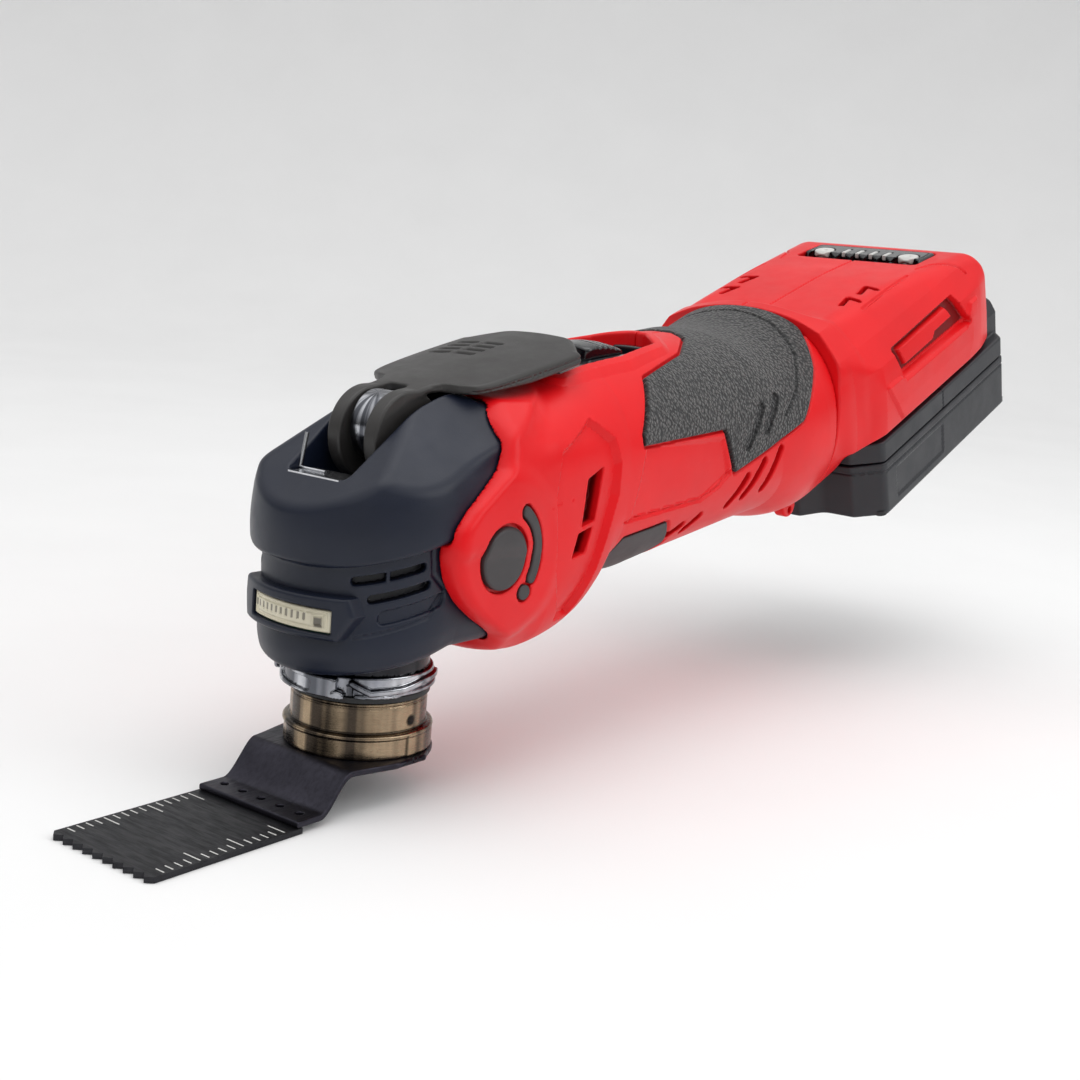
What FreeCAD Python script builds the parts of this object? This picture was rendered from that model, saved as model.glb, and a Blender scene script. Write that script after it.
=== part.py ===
import FreeCAD, Part
import Sketcher
import math
import os

# Cordless oscillating multi tool, millimetres.
# Frame: the origin is on the spindle axis, at the top face of the blade's mounting plate.
# +Z runs up the spindle, +X runs rearwards to the battery, +Y is the tool's left side seen
# from behind the head.  The rear housing and the battery lie in a frame pitched up about Y.

V = FreeCAD.Vector
doc = FreeCAD.newDocument("multi_tool")
sheet = doc.addObject("Spreadsheet::Sheet", "Dims")

DIMENSIONS = [
    # blade
    ("blade_reach", 73.4), ("blade_width", 32.0), ("plate_width", 34.0), ("plate_thick", 1.5),
    ("strip_thick", 1.3), ("blade_offset", 8.0), ("fold_low", 24.4), ("fold_high", 19.5),
    ("strip_start", 33.7), ("plate_hole", 10.0),
    # hub and clamp
    ("hub_rad", 15.9), ("hub_tall", 13.1), ("flange_rad", 17.2), ("flange_tall", 5.8),
    ("nose_rad", 12.4), ("nose_low", 3.0), ("nose_top", 24.4), ("nose_bore", 9.0),
    ("collar_rad", 17.8), ("collar_low", 14.7), ("collar_mid", 19.2), ("collar_top", 23.2),
    # spindle train
    ("journal_rad", 8.5), ("low_bearing_rad", 15.0), ("low_bearing_z", 26.5),
    ("low_bearing_wide", 7.0), ("fork_rad", 11.0), ("fork_low", 45.0), ("fork_top", 54.0),
    ("fork_bore", 7.0), ("top_journal", 5.0), ("top_bearing_rad", 9.5), ("top_bearing_wide", 5.0),
    ("rod_rad", 2.5), ("rod_top", 64.85),
    # motor line
    ("motor_z", 53.5), ("motor_rad", 17.0), ("motor_front", 44.0), ("motor_long", 50.0),
    ("shaft_rad", 3.0), ("throw", 0.9), ("ecc_bearing_rad", 6.5), ("ecc_x", 24.0),
    ("ecc_wide", 5.0), ("fork_gap", 8.5), ("motor_bearing_rad", 9.5), ("fan_rad", 15.0),
    ("run_fit", 0.03),
    # head
    ("bell_rad", 26.5), ("bell_low", 45.5), ("bell_top", 80.5), ("neck_rad", 24.0),
    ("rim_z", 20.0), ("case_rad", 21.5), ("case_rear_rad", 22.6), ("case_fit", 0.2),
    ("slot_half", 9.8), ("pivot_x", 3.0), ("pivot_z", 71.5), ("pin_rad", 2.5),
    ("cheek_rad", 10.8), ("cheek_out", 7.8), ("cheek_in", 3.2), ("cam_rad", 8.5),
    ("cam_shift", 2.0), ("lever_half", 19.6), ("lever_thick", 4.0), ("lever_pitch", 13.0),
    # barrel
    ("skin", 1.4), ("wall", 3.4), ("ear_x", 13.0), ("ear_z", 47.0), ("ear_rad", 19.6),
    ("ear_face", 28.6), ("ear_under", 26.8), ("cap_rad", 7.7), ("insert_deep", 1.2),
    # rear frame
    ("pitch", 21.4), ("rear_end", 283.0), ("rear_half", 38.5), ("rear_wall", 2.6),
    # battery
    ("pack_front", 191.6), ("pack_nose", 186.5), ("pack_rear", 293.3), ("pack_half", 38.9),
    ("pack_low", -31.9), ("pack_split", -13.7), ("pack_top", -6.8), ("pack_wall", 2.4),
    ("cell_rad", 9.2), ("cell_long", 65.0),
]
for row, (alias, value) in enumerate(DIMENSIONS, start=1):
    sheet.set("A%d" % row, alias)
    sheet.set("B%d" % row, str(value))
    sheet.setAlias("B%d" % row, alias)
doc.recompute()
D = dict(DIMENSIONS)

REAR = FreeCAD.Placement(V(0, 0, 0), FreeCAD.Rotation(V(0, 1, 0), -D["pitch"]))
AXIS_X = FreeCAD.Rotation(V(0, 1, 0), 90)
AXIS_Y = FreeCAD.Rotation(V(1, 0, 0), -90)
AXIS_Z = FreeCAD.Rotation()
NODES = []


def cell(text):
    """Turn plain alias words into references to the sheet."""
    words = text.replace("(", " ( ").replace(")", " ) ").split()
    return " ".join("Dims." + w if w in D else w for w in words)


def bind(item, prop, value):
    """Bind one property to the sheet, or set a fixed detail size."""
    if isinstance(value, str):
        item.setExpression(prop, cell(value))
    else:
        setattr(item, prop, value)


def place(item, at, turn):
    fixed = [0 if isinstance(value, str) else value for value in at]
    item.Placement = FreeCAD.Placement(V(*fixed), turn)
    for axis, value in zip("xyz", at):
        if isinstance(value, str):
            bind(item, ".Placement.Base." + axis, value)
    return item


def rod(radius, height, at=(0, 0, 0), turn=AXIS_Z, angle=360):
    item = doc.addObject("Part::Cylinder", "rod")
    bind(item, "Radius", radius)
    bind(item, "Height", height)
    item.Angle = angle
    return place(item, at, turn)


def block(length, width, height, at=(0, 0, 0), turn=AXIS_Z):
    item = doc.addObject("Part::Box", "block")
    bind(item, "Length", length)
    bind(item, "Width", width)
    bind(item, "Height", height)
    return place(item, at, turn)


def cut(base, *tools):
    item = base
    for tool in tools:
        step = doc.addObject("Part::Cut", "cut")
        step.Base = item
        step.Tool = tool
        step.Refine = False
        item = step
    return item


def fuse(*items):
    if len(items) == 1:
        return items[0]
    item = doc.addObject("Part::MultiFuse", "fuse")
    item.Shapes = list(items)
    item.Refine = False
    return item


def common(first, second):
    item = doc.addObject("Part::Common", "common")
    item.Base = first
    item.Tool = second
    item.Refine = False
    return item


def group(*items):
    """Several separate solids that share one node."""
    item = doc.addObject("Part::Compound", "group")
    item.Links = list(items)
    return item


def ring(outer, inner, height, at=(0, 0, 0), turn=AXIS_Z):
    long = height + " + 2" if isinstance(height, str) else height + 2
    direction = turn.multVec(V(0, 0, 1))
    shifted = []
    for value, step in zip(at, direction):
        step = round(step, 6)
        shifted.append("%s - %s" % (value, step) if isinstance(value, str) else value - step)
    return cut(rod(outer, height, at, turn), rod(inner, long, shifted, turn))


def node(name, item, placement=None):
    """Name a finished sub-part; its label names its file."""
    item.Label = name
    if placement is not None:
        item.Placement = placement.multiply(item.Placement)
    NODES.append(item)
    return item


def outline(body, name, plane, points):
    """A closed sketch of straight edges on one of the body's own origin planes."""
    sketch = body.newObject("Sketcher::SketchObject", name)
    planes = {feature.Role: feature for feature in body.Origin.OriginFeatures}
    sketch.AttachmentSupport = [(planes[plane], "")]
    sketch.MapMode = "FlatFace"
    corners = list(points)
    for start, end in zip(corners, corners[1:] + corners[:1]):
        sketch.addGeometry(Part.LineSegment(V(*start, 0), V(*end, 0)), False)
    count = len(corners)
    for index in range(count):
        sketch.addConstraint(Sketcher.Constraint("Coincident", index, 2, (index + 1) % count, 1))
    for index, corner in enumerate(corners):
        for kind, value in zip(("DistanceX", "DistanceY"), corner):
            number = sketch.addConstraint(Sketcher.Constraint(kind, -1, 1, index, 1, value))
            sketch.renameConstraint(number, "%s_%d" % (kind, index))
    return sketch


def pad_profile(name, plane, points, length, bound=()):
    """A body padded both ways from a profile; bound lists (constraint name, expression)."""
    body = doc.addObject("PartDesign::Body", name + "_body")
    sketch = outline(body, name + "_sketch", plane, points)
    for label, value in bound:
        sketch.setExpression("Constraints." + label, cell(value))
    pad = body.newObject("PartDesign::Pad", name + "_pad")
    pad.Profile = sketch
    pad.Midplane = True
    bind(pad, "Length", length)
    body.recompute(True)
    return body


def turned(name, profile):
    """A solid of revolution about Z from (radius, height) corners."""
    body = doc.addObject("PartDesign::Body", name + "_body")
    sketch = outline(body, name + "_sketch", "XZ_Plane", profile)
    spin = body.newObject("PartDesign::Revolution", name + "_turn")
    spin.Profile = sketch
    spin.ReferenceAxis = (sketch, ["V_Axis"])
    spin.Angle = 360
    body.recompute(True)
    return body


# ---------------------------------------------------------------- blade

def make_blade():
    plate = fuse(
        rod("flange_rad + 0.6", "plate_thick", (0, 0, "0 - plate_thick")),
        block("fold_high", "plate_width", "plate_thick",
              ("0 - fold_high", "0 - plate_width / 2", "0 - plate_thick")),
        block("strip_start - fold_low + 3", "plate_width", "plate_thick",
              ("0 - strip_start - 3", "0 - plate_width / 2", "0 - blade_offset - plate_thick")),
        fold_web(),
    )
    plate = cut(plate, rod("plate_hole", 10, (0, 0, -5)))
    holes = [rod(0.9, 8, (-29.5, y, -12)) for y in (-12, -6, 0, 6, 12)]
    node("blade_plate", cut(plate, *holes))
    teeth = 10
    pitch = D["blade_width"] / teeth
    points = [(-D["strip_start"] + 1.5, -D["blade_width"] / 2)]
    points += [(-D["strip_start"] + 1.5, D["blade_width"] / 2)]
    for index in range(teeth):
        high = D["blade_width"] / 2 - index * pitch
        points.append((-D["blade_reach"] + 1.4, high))
        points.append((-D["blade_reach"], high - pitch / 2))
    points.append((-D["blade_reach"] + 1.4, -D["blade_width"] / 2))
    strip = pad_profile("blade_strip", "XY_Plane", points, "strip_thick")
    level = -D["blade_offset"] - D["plate_thick"] - D["strip_thick"] / 2
    node("blade_strip", strip, FreeCAD.Placement(V(0, 0, level), AXIS_Z))


def fold_web():
    """The slanted web between the hub plate and the blade level."""
    low = -D["blade_offset"]
    thick = D["plate_thick"]
    points = [(-D["fold_high"], 0), (-D["fold_low"] - 0.6, low),
              (-D["fold_low"] - 0.6, low - thick), (-D["fold_low"] + 0.9, low - thick),
              (-D["fold_high"] + 1.2, -thick), (-D["fold_high"] + 1.2, 0)]
    return pad_profile("fold_web", "XZ_Plane", points, "plate_width")


def make_hub():
    body = turned("blade_hub", [
        (9.8, 0.0), (D["flange_rad"], 0.0), (D["flange_rad"], D["flange_tall"]),
        (D["hub_rad"], D["flange_tall"]), (D["hub_rad"], D["hub_tall"]), (12.7, D["hub_tall"]),
        (12.7, 2.8), (9.8, 2.8)])
    node("blade_hub", body)
    node("hub_washer", ring(16.4, 12.45, 1.2, (0, 0, "hub_tall + 0.1")))
    collar = turned("clamp_collar", [
        (12.45, D["collar_low"]), (D["collar_rad"], D["collar_low"]),
        (D["collar_rad"], D["collar_mid"]), (16.2, D["collar_mid"]), (16.2, D["collar_top"]),
        (12.45, D["collar_top"])])
    notches = []
    for turn in (0, 120, 240):
        notch = block(6, 9, 8)
        around = FreeCAD.Placement(V(0, 0, 0), FreeCAD.Rotation(V(0, 0, 1), turn))
        notch.Placement = around.multiply(FreeCAD.Placement(V(16.4, -4.5, 13), AXIS_Z))
        notches.append(notch)
    node("clamp_collar", cut(collar, *notches))


# ---------------------------------------------------------------- spindle train

def make_spindle():
    bearing_top = D["low_bearing_z"] + D["low_bearing_wide"]
    top = D["fork_top"] + D["top_bearing_wide"]
    nose_bore = D["nose_bore"]
    shoulder = D["low_bearing_z"] - 0.2
    fork_end = D["fork_top"] - 0.3
    body = turned("spindle", [
        (nose_bore, D["nose_low"]), (D["nose_rad"], D["nose_low"]), (D["nose_rad"], D["nose_top"]),
        (10.5, D["nose_top"]), (10.5, shoulder), (D["journal_rad"], shoulder),
        (D["journal_rad"], bearing_top), (7.6, bearing_top), (7.6, D["fork_low"]),
        (D["fork_bore"], D["fork_low"]), (D["fork_bore"], fork_end),
        (D["top_journal"], fork_end), (D["top_journal"], top), (2.9, top),
        (2.9, 24.2), (6.2, 24.2), (6.2, 13.2), (nose_bore, 13.2)])
    node("spindle", body)
    lower = ring("low_bearing_rad", "journal_rad + run_fit", "low_bearing_wide",
                 (0, 0, "low_bearing_z"))
    upper = ring("top_bearing_rad", "top_journal + run_fit", "top_bearing_wide",
                 (0, 0, "fork_top"))
    node("spindle_bearings", group(lower, upper))
    node("dust_seal", ring(18.0, 10.8, 1.5, (0, 0, 24.8)))
    clip = ring(9.4, 7.6, 1.2, (0, 0, "low_bearing_z + low_bearing_wide + 0.2"))
    spring_seat = ring(6.15, 3.2, 1.2, (0, 0, 13.3))
    node("retaining_rings", group(clip, spring_seat))
    arm_long = 12.5
    arms = [block(arm_long, 4, 13, ("ecc_x + ecc_wide + 0.5 - %s" % arm_long, y, 46))
            for y in ("fork_gap", "0 - fork_gap - 4")]
    bridge = block(11, 25, 8.4, (8, -12.5, 45.3))
    hub = fuse(rod("fork_rad", "fork_top - fork_low - 0.3", (0, 0, "fork_low")), bridge, *arms)
    node("fork", cut(hub, rod("fork_bore", 20, (0, 0, 40))))


def make_clamp():
    body = turned("clamp_plunger", [
        (0, 4.0), (3.6, 4.0), (3.6, 6.0), (D["rod_rad"], 6.0), (D["rod_rad"], 21.5),
        (5.4, 21.5), (5.4, 23.8), (D["rod_rad"], 23.8), (D["rod_rad"], 62.4), (2.9, 62.4),
        (2.9, D["rod_top"]), (0, D["rod_top"])])
    node("clamp_plunger", body)
    claw = cut(rod(8.6, 6.5, (0, 0, 4.6)), rod(3.7, 9, (0, 0, 3)), block(20, 5, 9, (-10, -2.5, 3)))
    node("clamp_claws", claw)
    node("clamp_spring", coil(4.2, 0.55, 1.9, 3, (0, 0, 15.25)))


def coil(radius, wire, pitch, turns, at, turn=AXIS_Z):
    """A closed coil spring: a wire section swept along a helix."""
    helix = Part.makeHelix(pitch, pitch * turns, radius)
    section = Part.Wire(Part.makeCircle(wire, V(radius, 0, 0), V(0, 1, 0)))
    sweep = Part.Wire(helix).makePipeShell([section], True, True)
    item = doc.addObject("Part::Feature", "coil")
    item.Shape = sweep
    item.Placement = FreeCAD.Placement(V(*at), turn)
    return item


# ---------------------------------------------------------------- head

MOTOR_SCREWS = [(15.0, 13.5), (-15.0, 13.5), (15.0, -13.5), (-15.0, -13.5)]


def make_gear_case():
    case = fuse(
        rod("case_rad", "60.2 - 22.5", (0, 0, 22.5)),
        rod("case_rear_rad", 28.6, (14.4, 0, "motor_z"), AXIS_X),
    )
    inside = [
        rod(18.5, "fork_top - 34.5", (0, 0, 34.5)),
        rod("low_bearing_rad", 9, (0, 0, 26.4)),
        rod(18.05, 4.5, (0, 0, 22)),
        rod("top_bearing_rad", "top_bearing_wide", (0, 0, "fork_top")),
        rod(5.2, 4, (0, 0, 58)),
        rod(18.5, 24, (12, 0, "motor_z"), AXIS_X),
        rod("motor_bearing_rad", 9, (35, 0, "motor_z"), AXIS_X),
    ]
    inside += [rod(1.35, 9, (36, y, "motor_z + %s" % z), AXIS_X) for y, z in MOTOR_SCREWS]
    node("gear_case", cut(case, *inside))


def head_form(grow, low, high):
    """Bell, neck and rear stub of the head, grown evenly on the radius."""
    stub = doc.addObject("Part::Ellipse", "stub_edge")
    bind(stub, "MajorRadius", 27.6 + grow)
    bind(stub, "MinorRadius", 25.6 + grow)
    turn = FreeCAD.Rotation(V(0, 0, 1), V(0, 1, 0), V(1, 0, 0), "ZXY")
    stub.Placement = FreeCAD.Placement(V(0, 0, 51.5), turn)
    run = doc.addObject("Part::Extrusion", "stub")
    run.Base = stub
    run.DirMode = "Custom"
    run.Dir = V(1, 0, 0)
    run.LengthFwd = 32 + grow
    run.Solid = True
    return fuse(
        rod("bell_rad + %s" % grow, "%s - bell_low + %s" % (high, grow),
            (0, 0, "bell_low - %s" % grow)),
        rod("neck_rad + %s" % grow, "bell_low - %s + 1" % low, (0, 0, low)),
        run,
    )


def make_head():
    form = head_form(0, D["rim_z"], D["bell_top"])
    slope = 37.0
    front = FreeCAD.Placement(V(-18.6, 0, 63.9), FreeCAD.Rotation(V(0, 1, 0), -slope))
    wedge = block(80, 80, 40)
    wedge.Placement = front.multiply(FreeCAD.Placement(V(-40, -40, 0), AXIS_Z))
    flanks = []
    for side in (1, -1):
        facing = V(-0.368, 0.695 * side, 0.617)
        flank = block(80, 80, 40)
        turn = FreeCAD.Rotation(V(0, 0, 1), facing)
        corner = V(-8, 12 * side, 71.5)
        flank.Placement = FreeCAD.Placement(corner, turn).multiply(
            FreeCAD.Placement(V(-40, -40, 0), AXIS_Z))
        flanks.append(flank)
    cavity = [
        rod("case_rad + case_fit", "60.4 - 22.4", (0, 0, 22.4)),
        rod(19.2, 10, (0, 0, 15)),
        rod("case_rear_rad + case_fit", 40, (14.2, 0, "motor_z"), AXIS_X),
        block(33.7, "2 * slot_half", 30, (-19.5, "0 - slot_half", 60.4)),
        rod("pin_rad + 0.02", 30, ("pivot_x", -15, "pivot_z"), AXIS_Y),
    ]
    node("head_cover", cut(form, wedge, *flanks, *cavity))
    plate = block(8.2, 15.6, 2.2, (-19.2, -7.8, 61.6))
    wire = fuse(rod(0.45, 8.0, (-14.5, 8.8, 63.9), FreeCAD.Rotation(V(0, 1, 0), 12)),
                rod(0.45, 8.4, (-14.5, 0.8, 63.9), AXIS_Y))
    node("lever_catch", group(plate, wire))


def sector(outer, inner, low, high, half_angle):
    """A ring segment centred on the front of the head."""
    turn = FreeCAD.Rotation(V(0, 0, 1), 180 - half_angle)
    solid = rod(outer, high - low, (0, 0, low), turn, 2 * half_angle)
    return cut(solid, rod(inner, high - low + 2, (0, 0, low - 1)))


def make_light():
    bezel = cut(sector(27.4, 24.05, 28.2, 37.8, 34), sector(30, 24.9, 29.8, 36.2, 29))
    node("light_bezel", bezel)
    node("light_lens", sector(26.9, 25.7, 29.9, 36.1, 28.6))
    node("light_board", sector(25.5, 24.95, 30.2, 35.8, 27.5))


# ---------------------------------------------------------------- lever

def make_lever():
    pivot = V(D["pivot_x"], 0, D["pivot_z"])
    tilt = FreeCAD.Placement(pivot, FreeCAD.Rotation(V(0, 1, 0), -D["lever_pitch"]))
    reach = 57.0
    wide_from = 12.0
    half = D["lever_half"]
    side = [(0, 7.8), (wide_from - 1, 7.8), (wide_from + 4, half - 3), (24, half),
            (reach - 8, half), (reach - 2, half - 5), (reach, half - 12)]
    plan = [(s, -y) for s, y in side] + side[::-1]
    paddle = pad_profile("paddle", "XY_Plane", plan, "lever_thick")
    lift = FreeCAD.Placement(V(0, 0, D["cheek_rad"] - D["lever_thick"] / 2), AXIS_Z)
    paddle.Placement = tilt.multiply(lift)
    cheeks = [rod("cheek_rad", "cheek_out - cheek_in", ("pivot_x", y, "pivot_z"), AXIS_Y)
              for y in ("cheek_in", "0 - cheek_out")]
    bores = rod("pin_rad + 0.06", 30, ("pivot_x", -15, "pivot_z"), AXIS_Y)
    room = rod("cam_rad + cam_shift + 0.3", "2 * cheek_in", ("pivot_x", "0 - cheek_in", "pivot_z"),
               AXIS_Y)
    node("lever", cut(fuse(paddle, *cheeks), bores, room))
    shift = V(0, 0, D["cam_shift"])
    cam = rod("cam_rad", 5.8, (0, 0, 0), AXIS_Y)
    cam.Placement = FreeCAD.Placement(pivot + shift + V(0, -2.9, 0), AXIS_Y)
    node("lever_cam", cut(cam, rod("pin_rad + 0.06", 30, ("pivot_x", -15, "pivot_z"), AXIS_Y)))
    node("lever_pin", rod("pin_rad", 28, ("pivot_x", -14, "pivot_z"), AXIS_Y))


# ---------------------------------------------------------------- motor line

def make_motor():
    axis_z = "motor_z"
    can_wall = 1.6
    can = cut(rod("motor_rad", "motor_long", ("motor_front", 0, axis_z), AXIS_X),
              rod("motor_rad - %s" % can_wall, "motor_long",
                  ("motor_front + 2", 0, axis_z), AXIS_X),
              rod(5.5, 20, ("motor_front - 5", 0, axis_z), AXIS_X))
    node("motor_can", can)
    magnets = cut(ring("motor_rad - %s" % (can_wall + 0.05), 12.4, 34,
                       ("motor_front + 4", 0, axis_z), AXIS_X),
                  block(50, 8, 60, ("motor_front", -4, "motor_z - 30")))
    node("motor_magnets", magnets)
    core = rod(11.8, 32, ("motor_front + 5", 0, axis_z), AXIS_X)
    slots = []
    for index in range(5):
        turn = FreeCAD.Rotation(V(1, 0, 0), 72 * index)
        slot = block(40, 2.4, 8)
        centre = FreeCAD.Placement(V(0, 0, D["motor_z"]), turn)
        slot.Placement = centre.multiply(FreeCAD.Placement(V(D["motor_front"], -1.2, 6.5), AXIS_Z))
        slots.append(slot)
    bore = rod("shaft_rad", 60, (40, 0, axis_z), AXIS_X)
    node("rotor_core", cut(core, *slots, bore))
    shaft = fuse(rod("shaft_rad", 75, (36, 0, axis_z), AXIS_X),
                 rod(2.5, 13, (23.5, 0, axis_z), AXIS_X))
    node("rotor_shaft", shaft)
    node("commutator", ring(5.2, "shaft_rad", 9, (83.5, 0, axis_z), AXIS_X))
    holder = ring("motor_rad - 1.7", 9.6, 4, ("motor_front + motor_long - 7", 0, axis_z), AXIS_X)
    brushes = [block(4.4, 4, 4, (87.2, -2, "motor_z + 5.4")),
               block(4.4, 4, 4, (87.2, -2, "motor_z - 9.4"))]
    node("brush_gear", group(holder, *brushes))
    hub = ring(6.0, "shaft_rad", 7.5, (98, 0, axis_z), AXIS_X)
    disc = ring("fan_rad", 5.9, 1.4, (98, 0, axis_z), AXIS_X)
    vanes = []
    for index in range(11):
        vane = block(6.0, 1.2, 10.5)
        turn = FreeCAD.Rotation(V(1, 0, 0), index * 360 / 11)
        centre = FreeCAD.Placement(V(0, 0, D["motor_z"]), turn)
        vane.Placement = centre.multiply(FreeCAD.Placement(V(99.3, -0.6, 5.8), AXIS_Z))
        vanes.append(vane)
    node("cooling_fan", fuse(hub, disc, *vanes))
    throw = FreeCAD.Placement(V(D["ecc_x"], 0, D["motor_z"] + D["throw"]), AXIS_X)
    bush = rod(4.0, "ecc_wide", (0, 0, 0), AXIS_X)
    bush.Placement = throw
    node("eccentric_bush", cut(bush, rod(2.5, 20, (20, 0, axis_z), AXIS_X)))
    outer = cut(rod("ecc_bearing_rad", "ecc_wide"), rod(4.0, 9, (0, 0, -2)))
    node("eccentric_bearing", outer, throw)
    front = ring("motor_bearing_rad", "shaft_rad + run_fit", 6, (36.6, 0, axis_z), AXIS_X)
    rear = ring(8.0, "shaft_rad + run_fit", 5, (106, 0, axis_z), AXIS_X)
    node("motor_bearings", group(front, rear))


# ---------------------------------------------------------------- outer forms

# Each station of a form: distance along it, centre height, half width, half height,
# roundness power (2 is an ellipse, more is squarer) and pitch in degrees.
BARREL = [
    (20.0, 51.0, 28.6, 29.0, 2.1, 0.0),
    (44.0, 53.8, 30.0, 32.0, 2.2, 0.0),
    (70.0, 60.8, 30.2, 31.2, 2.2, 3.0),
    (105.0, 64.0, 30.0, 30.4, 2.2, 7.0),
    (137.0, 68.4, 31.2, 30.4, 2.2, 14.0),
    (160.6, 71.7, 33.0, 31.0, 2.2, 21.4),
]
# The rear housing's stations lie in the rear frame and have no pitch of their own.
REAR_FORM = [
    (176.3, 8.0, 33.0, 31.0, 2.2, 0.0),
    (184.0, 14.6, 35.0, 20.0, 2.5, 0.0),
    (196.0, 15.3, 37.4, 20.7, 3.4, 0.0),
    (232.0, 13.8, D["rear_half"], 19.2, 4.0, 0.0),
    (256.0, 12.0, D["rear_half"], 17.4, 4.0, 0.0),
    (D["rear_end"] - 9.0, 10.8, 37.4, 16.2, 4.0, 0.0),
    (D["rear_end"], 7.3, 35.0, 12.7, 3.6, 0.0),
]
RIM_POINTS = 20
FORMS = {}


def rim(station, inset):
    """One closed superelliptic section of a form, as a smooth wire."""
    along, height, half_width, half_height, power, pitch = station
    turn = FreeCAD.Rotation(V(0, 1, 0), -pitch)
    points = []
    for index in range(RIM_POINTS):
        angle = 2 * math.pi * index / RIM_POINTS
        across = math.copysign(abs(math.sin(angle)) ** (2 / power), math.sin(angle))
        upward = math.copysign(abs(math.cos(angle)) ** (2 / power), math.cos(angle))
        local = V(0, across * (half_width - inset), upward * (half_height - inset))
        points.append(V(along, 0, height) + turn.multVec(local))
    curve = Part.BSplineCurve()
    curve.interpolate(Points=points, PeriodicFlag=True)
    return Part.Wire(curve.toShape())


def form(stations, inset, ruled):
    """A closed form lofted through its stations, drawn in evenly by an inset."""
    key = (tuple(stations), inset, ruled)
    if key in FORMS:
        return FORMS[key]
    sections = []
    for station in stations:
        section = doc.addObject("Part::Feature", "station")
        section.Shape = rim(station, inset)
        sections.append(section)
    loft = doc.addObject("Part::Loft", "form")
    loft.Sections = sections
    loft.Solid = True
    loft.Ruled = ruled
    FORMS[key] = loft
    return loft


# ---------------------------------------------------------------- barrel

def head_room():
    """The space in the barrel that the head and the gear case fill."""
    return head_form(D["case_fit"], D["rim_z"] - 5, D["bell_top"] + 20)


def boss_places():
    return [(57.0, 80.5), (124.0, 89.5), (124.0, 44.5), (150.0, 92.0), (150.0, 52.5)]


def make_barrel():
    ears = rod("ear_rad", "2 * ear_face", ("ear_x", "0 - ear_face", "ear_z"), AXIS_Y)
    ears = cut(ears, block(80, "2 * ear_under", 80, (-27, "0 - ear_under", 7)))
    shell = fuse(form(BARREL, 0, False), ears)
    hollow = form([(33.5,) + BARREL[0][1:]] + BARREL[1:], D["wall"], False)
    skin_form = form(BARREL, D["skin"], False)
    patch = common(form(BARREL, 0, False), grip_zone())
    node("grip_overmould", cut(patch, skin_form, switch_room(), screw_room()))
    pad_zone = block(26, 60, 26, (64, -30, 22))
    pad = common(form(BARREL, 0, False), pad_zone)
    node("belly_pad", cut(pad, skin_form))
    shell = cut(shell, hollow, head_room(), gear_room(), switch_room(),
                cut(grip_zone(), skin_form), cut(pad_zone, skin_form))
    bosses_in = form(BARREL, 1.6, False)
    for side, name in ((1, "housing_left"), (-1, "housing_right")):
        half = common(shell, block(200, 40, 120, (-20, 0 if side > 0 else -40, 0)))
        bosses = []
        for x, z in boss_places():
            boss = rod(4.2, 26, (x, 0, z), AXIS_Y if side > 0 else AXIS_Y.inverted())
            bosses.append(common(boss, bosses_in))
        wall = common(bulkhead(), block(200, 40, 120, (-20, 0 if side > 0 else -40, 0)))
        half = fuse(half, wall, *bosses)
        node(name, cut(half, screw_room(), *inserts(side, 0.08)))
    screws = []
    for x, z in boss_places():
        screws.append(fuse(rod(1.5, 22, (x, -9, z), AXIS_Y), rod(2.9, 2.6, (x, 13, z), AXIS_Y)))
    for y, z in MOTOR_SCREWS:
        level = "motor_z + %s" % z
        screws.append(fuse(rod(2.0, 2.0, (43.1, y, level), AXIS_X),
                           rod(1.3, 5.2, (38, y, level), AXIS_X)))
    node("case_screws", group(*screws))


def gear_room():
    return rod("case_rear_rad + 0.15", 36, (8, 0, "motor_z"), AXIS_X)


def bulkhead():
    """The wall across the barrel that holds the motor's rear bearing."""
    web = common(form(BARREL, 1.6, False), block(5, 80, 120, (106, -40, 0)))
    return cut(web, rod(8.0, 20, (100, 0, "motor_z"), AXIS_X),
               block(9, 24, 18, (104, -12, 71)), switch_room())


def grip_zone():
    zone = block(64, 80, 60, (84, -40, 60))
    return cut(zone, block(22, 80, 12, (83, -40, 58)))


def screw_room():
    tools = []
    for x, z in boss_places():
        tools.append(rod(1.6, 60, (x, -10, z), AXIS_Y))
        tools.append(rod(3.2, 30, (x, 12.9, z), AXIS_Y))
    return fuse(*tools)


def switch_room():
    return block(48.4, 25.4, 30, (65.8, -12.7, 86.8))


def inserts(side, grow):
    """The disc, arc and dot let into one ear, or their pockets."""
    face = D["ear_face"]
    deep = D["insert_deep"] + grow
    low = face - deep if side > 0 else -face - 1
    long = deep + 1
    disc = rod(D["cap_rad"] + grow, long, ("ear_x", low, "ear_z"), AXIS_Y)
    outer = rod(13.6 + grow, long, ("ear_x", low, "ear_z"), AXIS_Y)
    inner = rod(10.4 - grow, long + 2, ("ear_x", low - 1, "ear_z"), AXIS_Y)
    wedge = block(30, long + 4, 30)
    slice_turn = FreeCAD.Rotation(V(0, 1, 0), 16)
    wedge.Placement = FreeCAD.Placement(V(D["ear_x"], low - 2, D["ear_z"]), slice_turn).multiply(
        FreeCAD.Placement(V(0, 0, -6 - grow), AXIS_Z))
    arc = common(cut(outer, inner), wedge)
    dot = rod(2.0 + grow, long, (21.5, low, 38.2), AXIS_Y)
    flush = block(80, 10, 80, (-27, face - 0.2 if side > 0 else -face - 10 + 0.2, 7))
    pieces = [disc, arc, dot]
    if grow == 0:
        pieces = [cut(piece, flush) for piece in pieces]
    return pieces


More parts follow.
